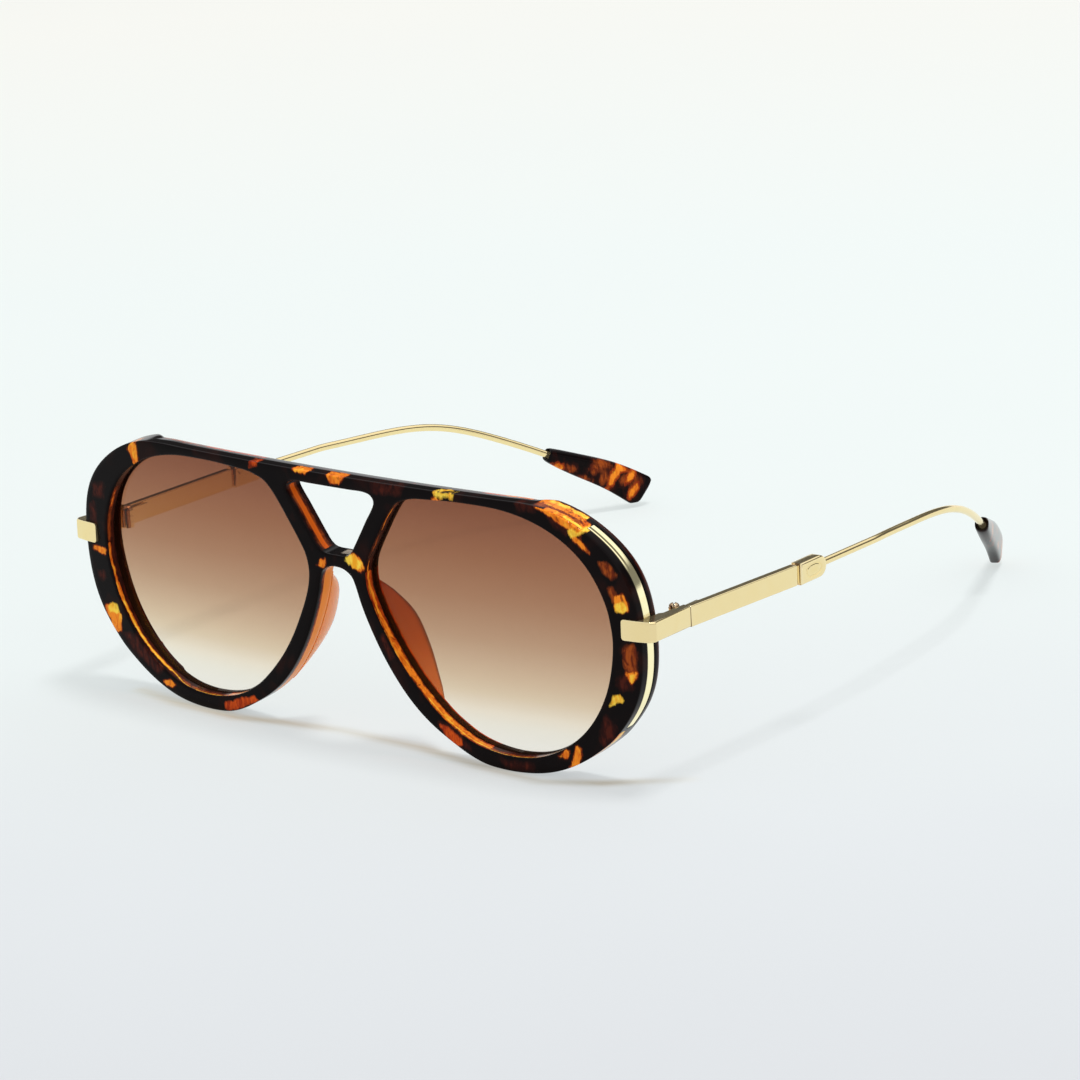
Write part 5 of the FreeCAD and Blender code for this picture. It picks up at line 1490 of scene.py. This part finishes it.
def floor_material():
    material, tree = new_material("pale_floor")
    coords = tree.coords()
    position = tree.split_xyz(coords)
    dx = tree.minus(position["X"], FLOOR_CENTRE[0])
    dy = tree.minus(position["Y"], FLOOR_CENTRE[1])
    distance = tree.calc("SQRT", tree.plus(tree.times(dx, dx), tree.times(dy, dy)))
    distance = tree.plus(distance, tree.swing(tree.noise(coords, scale=6.0), 0.08))
    base = tree.ramp(tree.calc("DIVIDE", distance, FLOOR_SPAN), FLOOR_STOPS)
    # the floor's colour times the painted shadow
    colour = tree.out("VectorMath", {0: base, 1: tree.attribute("painted_shadow")}, operation="MULTIPLY")
    grain = tree.bump(tree.noise(coords, scale=900.0, detail=2.0), strength=0.02,
                      distance=0.1 * MM)
    lit = tree.out("BsdfDiffuse", {"Color": colour, "Normal": grain})
    glow = tree.out("Emission", {"Color": colour, "Strength": 0.98})
    tree.surface(tree.mix_shader(0.64, lit, glow))
    return material


def add_floor():
    """A plane with a fine grid round the glasses, to carry the painted shadow."""
    far = [-7000, -3000, -1200, -500, -220]
    xs = np.concatenate([far, np.arange(-104, 104.1, 1.3), [220, 500, 1200, 3000, 7000]])
    ys = np.concatenate([far, np.arange(-104, 60.1, 1.3), [110, 220, 500, 1200, 3000, 7000]])
    points = np.array([(x, y) for y in ys for x in xs])
    n = len(xs)
    faces = [(j * n + i, j * n + i + 1, (j + 1) * n + i + 1, (j + 1) * n + i)
             for j in range(len(ys) - 1) for i in range(n - 1)]
    mesh = bpy.data.meshes.new("floor")
    mesh.from_pydata([(x * MM, y * MM, 0.0) for x, y in points], [], faces)
    floor = bpy.data.objects.new("floor", mesh)
    scene.collection.objects.link(floor)
    write_colours(mesh, "painted_shadow", np.hstack([painted_floor_shadow(points), np.ones((len(points), 1))]))
    mesh.materials.append(floor_material())


add_floor()


# ------------------------------------------------------------------ world, lights, camera
def studio_world():
    world = bpy.data.worlds.new("studio")
    scene.world = world
    tree = ShaderTree(world, "ShaderNodeOutputWorld")
    _, y, z = tree.split_xyz(tree.node("TexCoord").outputs["Generated"])
    # reflections only: bright horizon, a dark band above it that is less dark on the
    # camera's side (-Y), a bright ceiling
    ceiling = tree.slope(z, gain=9.0, offset=-3.9)
    horizon = tree.slope(z, gain=-14.0, offset=2.4)
    camera_side = tree.slope(y, gain=-3.0, offset=-0.3)
    bright = tree.calc("MAXIMUM", ceiling, tree.times(horizon, 0.92), clamp=True)
    band = tree.slope(camera_side, gain=0.34, offset=0.07, clamp=False)
    reflected = tree.plus(tree.times(bright, 1.06), tree.times(tree.minus(1.0, bright), band))
    even = tree.out("Background", {"Color": (0.965, 0.985, 1.0), "Strength": 0.76})
    mirrored_room = tree.out("Background", {"Color": (0.98, 0.99, 1.0), "Strength": reflected})
    glossy = tree.node("LightPath").outputs["Is Glossy Ray"]
    tree.surface(tree.mix_shader(glossy, even, mirrored_room))


def softbox(name, location, size, power):
    """A rectangular light aimed just above the origin; metres and watts."""
    data = bpy.data.lights.new(name, "AREA")
    data.shape = "RECTANGLE"
    data.size, data.size_y = size
    data.energy = power
    data.spread = math.radians(140)
    light = bpy.data.objects.new(name, data)
    light.location = location
    aim = Vector((0, 0, 0.02)) - Vector(location)
    light.rotation_euler = aim.to_track_quat("-Z", "Y").to_euler()
    scene.collection.objects.link(light)


def add_camera():
    data = bpy.data.cameras.new("view")
    camera = bpy.data.objects.new("view", data)
    scene.collection.objects.link(camera)
    azimuth, elevation, roll = (math.radians(a) for a in (38.95, 16.69, -3.35))
    forward = Vector((-math.sin(azimuth) * math.cos(elevation),
                      math.cos(azimuth) * math.cos(elevation), -math.sin(elevation)))
    level_right = Vector((math.cos(azimuth), math.sin(azimuth), 0))
    level_up = level_right.cross(forward)
    right = level_right * math.cos(roll) + level_up * math.sin(roll)
    up = -level_right * math.sin(roll) + level_up * math.cos(roll)
    place = Vector((0.622137, -0.706526 - FRONT_AHEAD * MM, 0.321443))
    turn = Matrix((right, up, -forward)).transposed()
    camera.matrix_world = Matrix.Translation(place) @ turn.to_4x4()
    data.sensor_width = 36.0
    data.lens = 172.6766667
    data.shift_x = -0.0075
    data.shift_y = -0.0066666667
    data.clip_start, data.clip_end = 0.05, 50.0
    scene.camera = camera


studio_world()
softbox("key", location=(0.22, 0.05, 1.2), size=(0.24, 0.24), power=4.0)
softbox("fill", location=(0.9, -0.6, 0.8), size=(0.8, 0.6), power=0.5)
add_camera()
scene.view_settings.view_transform = "Standard"
scene.view_settings.look = "None"
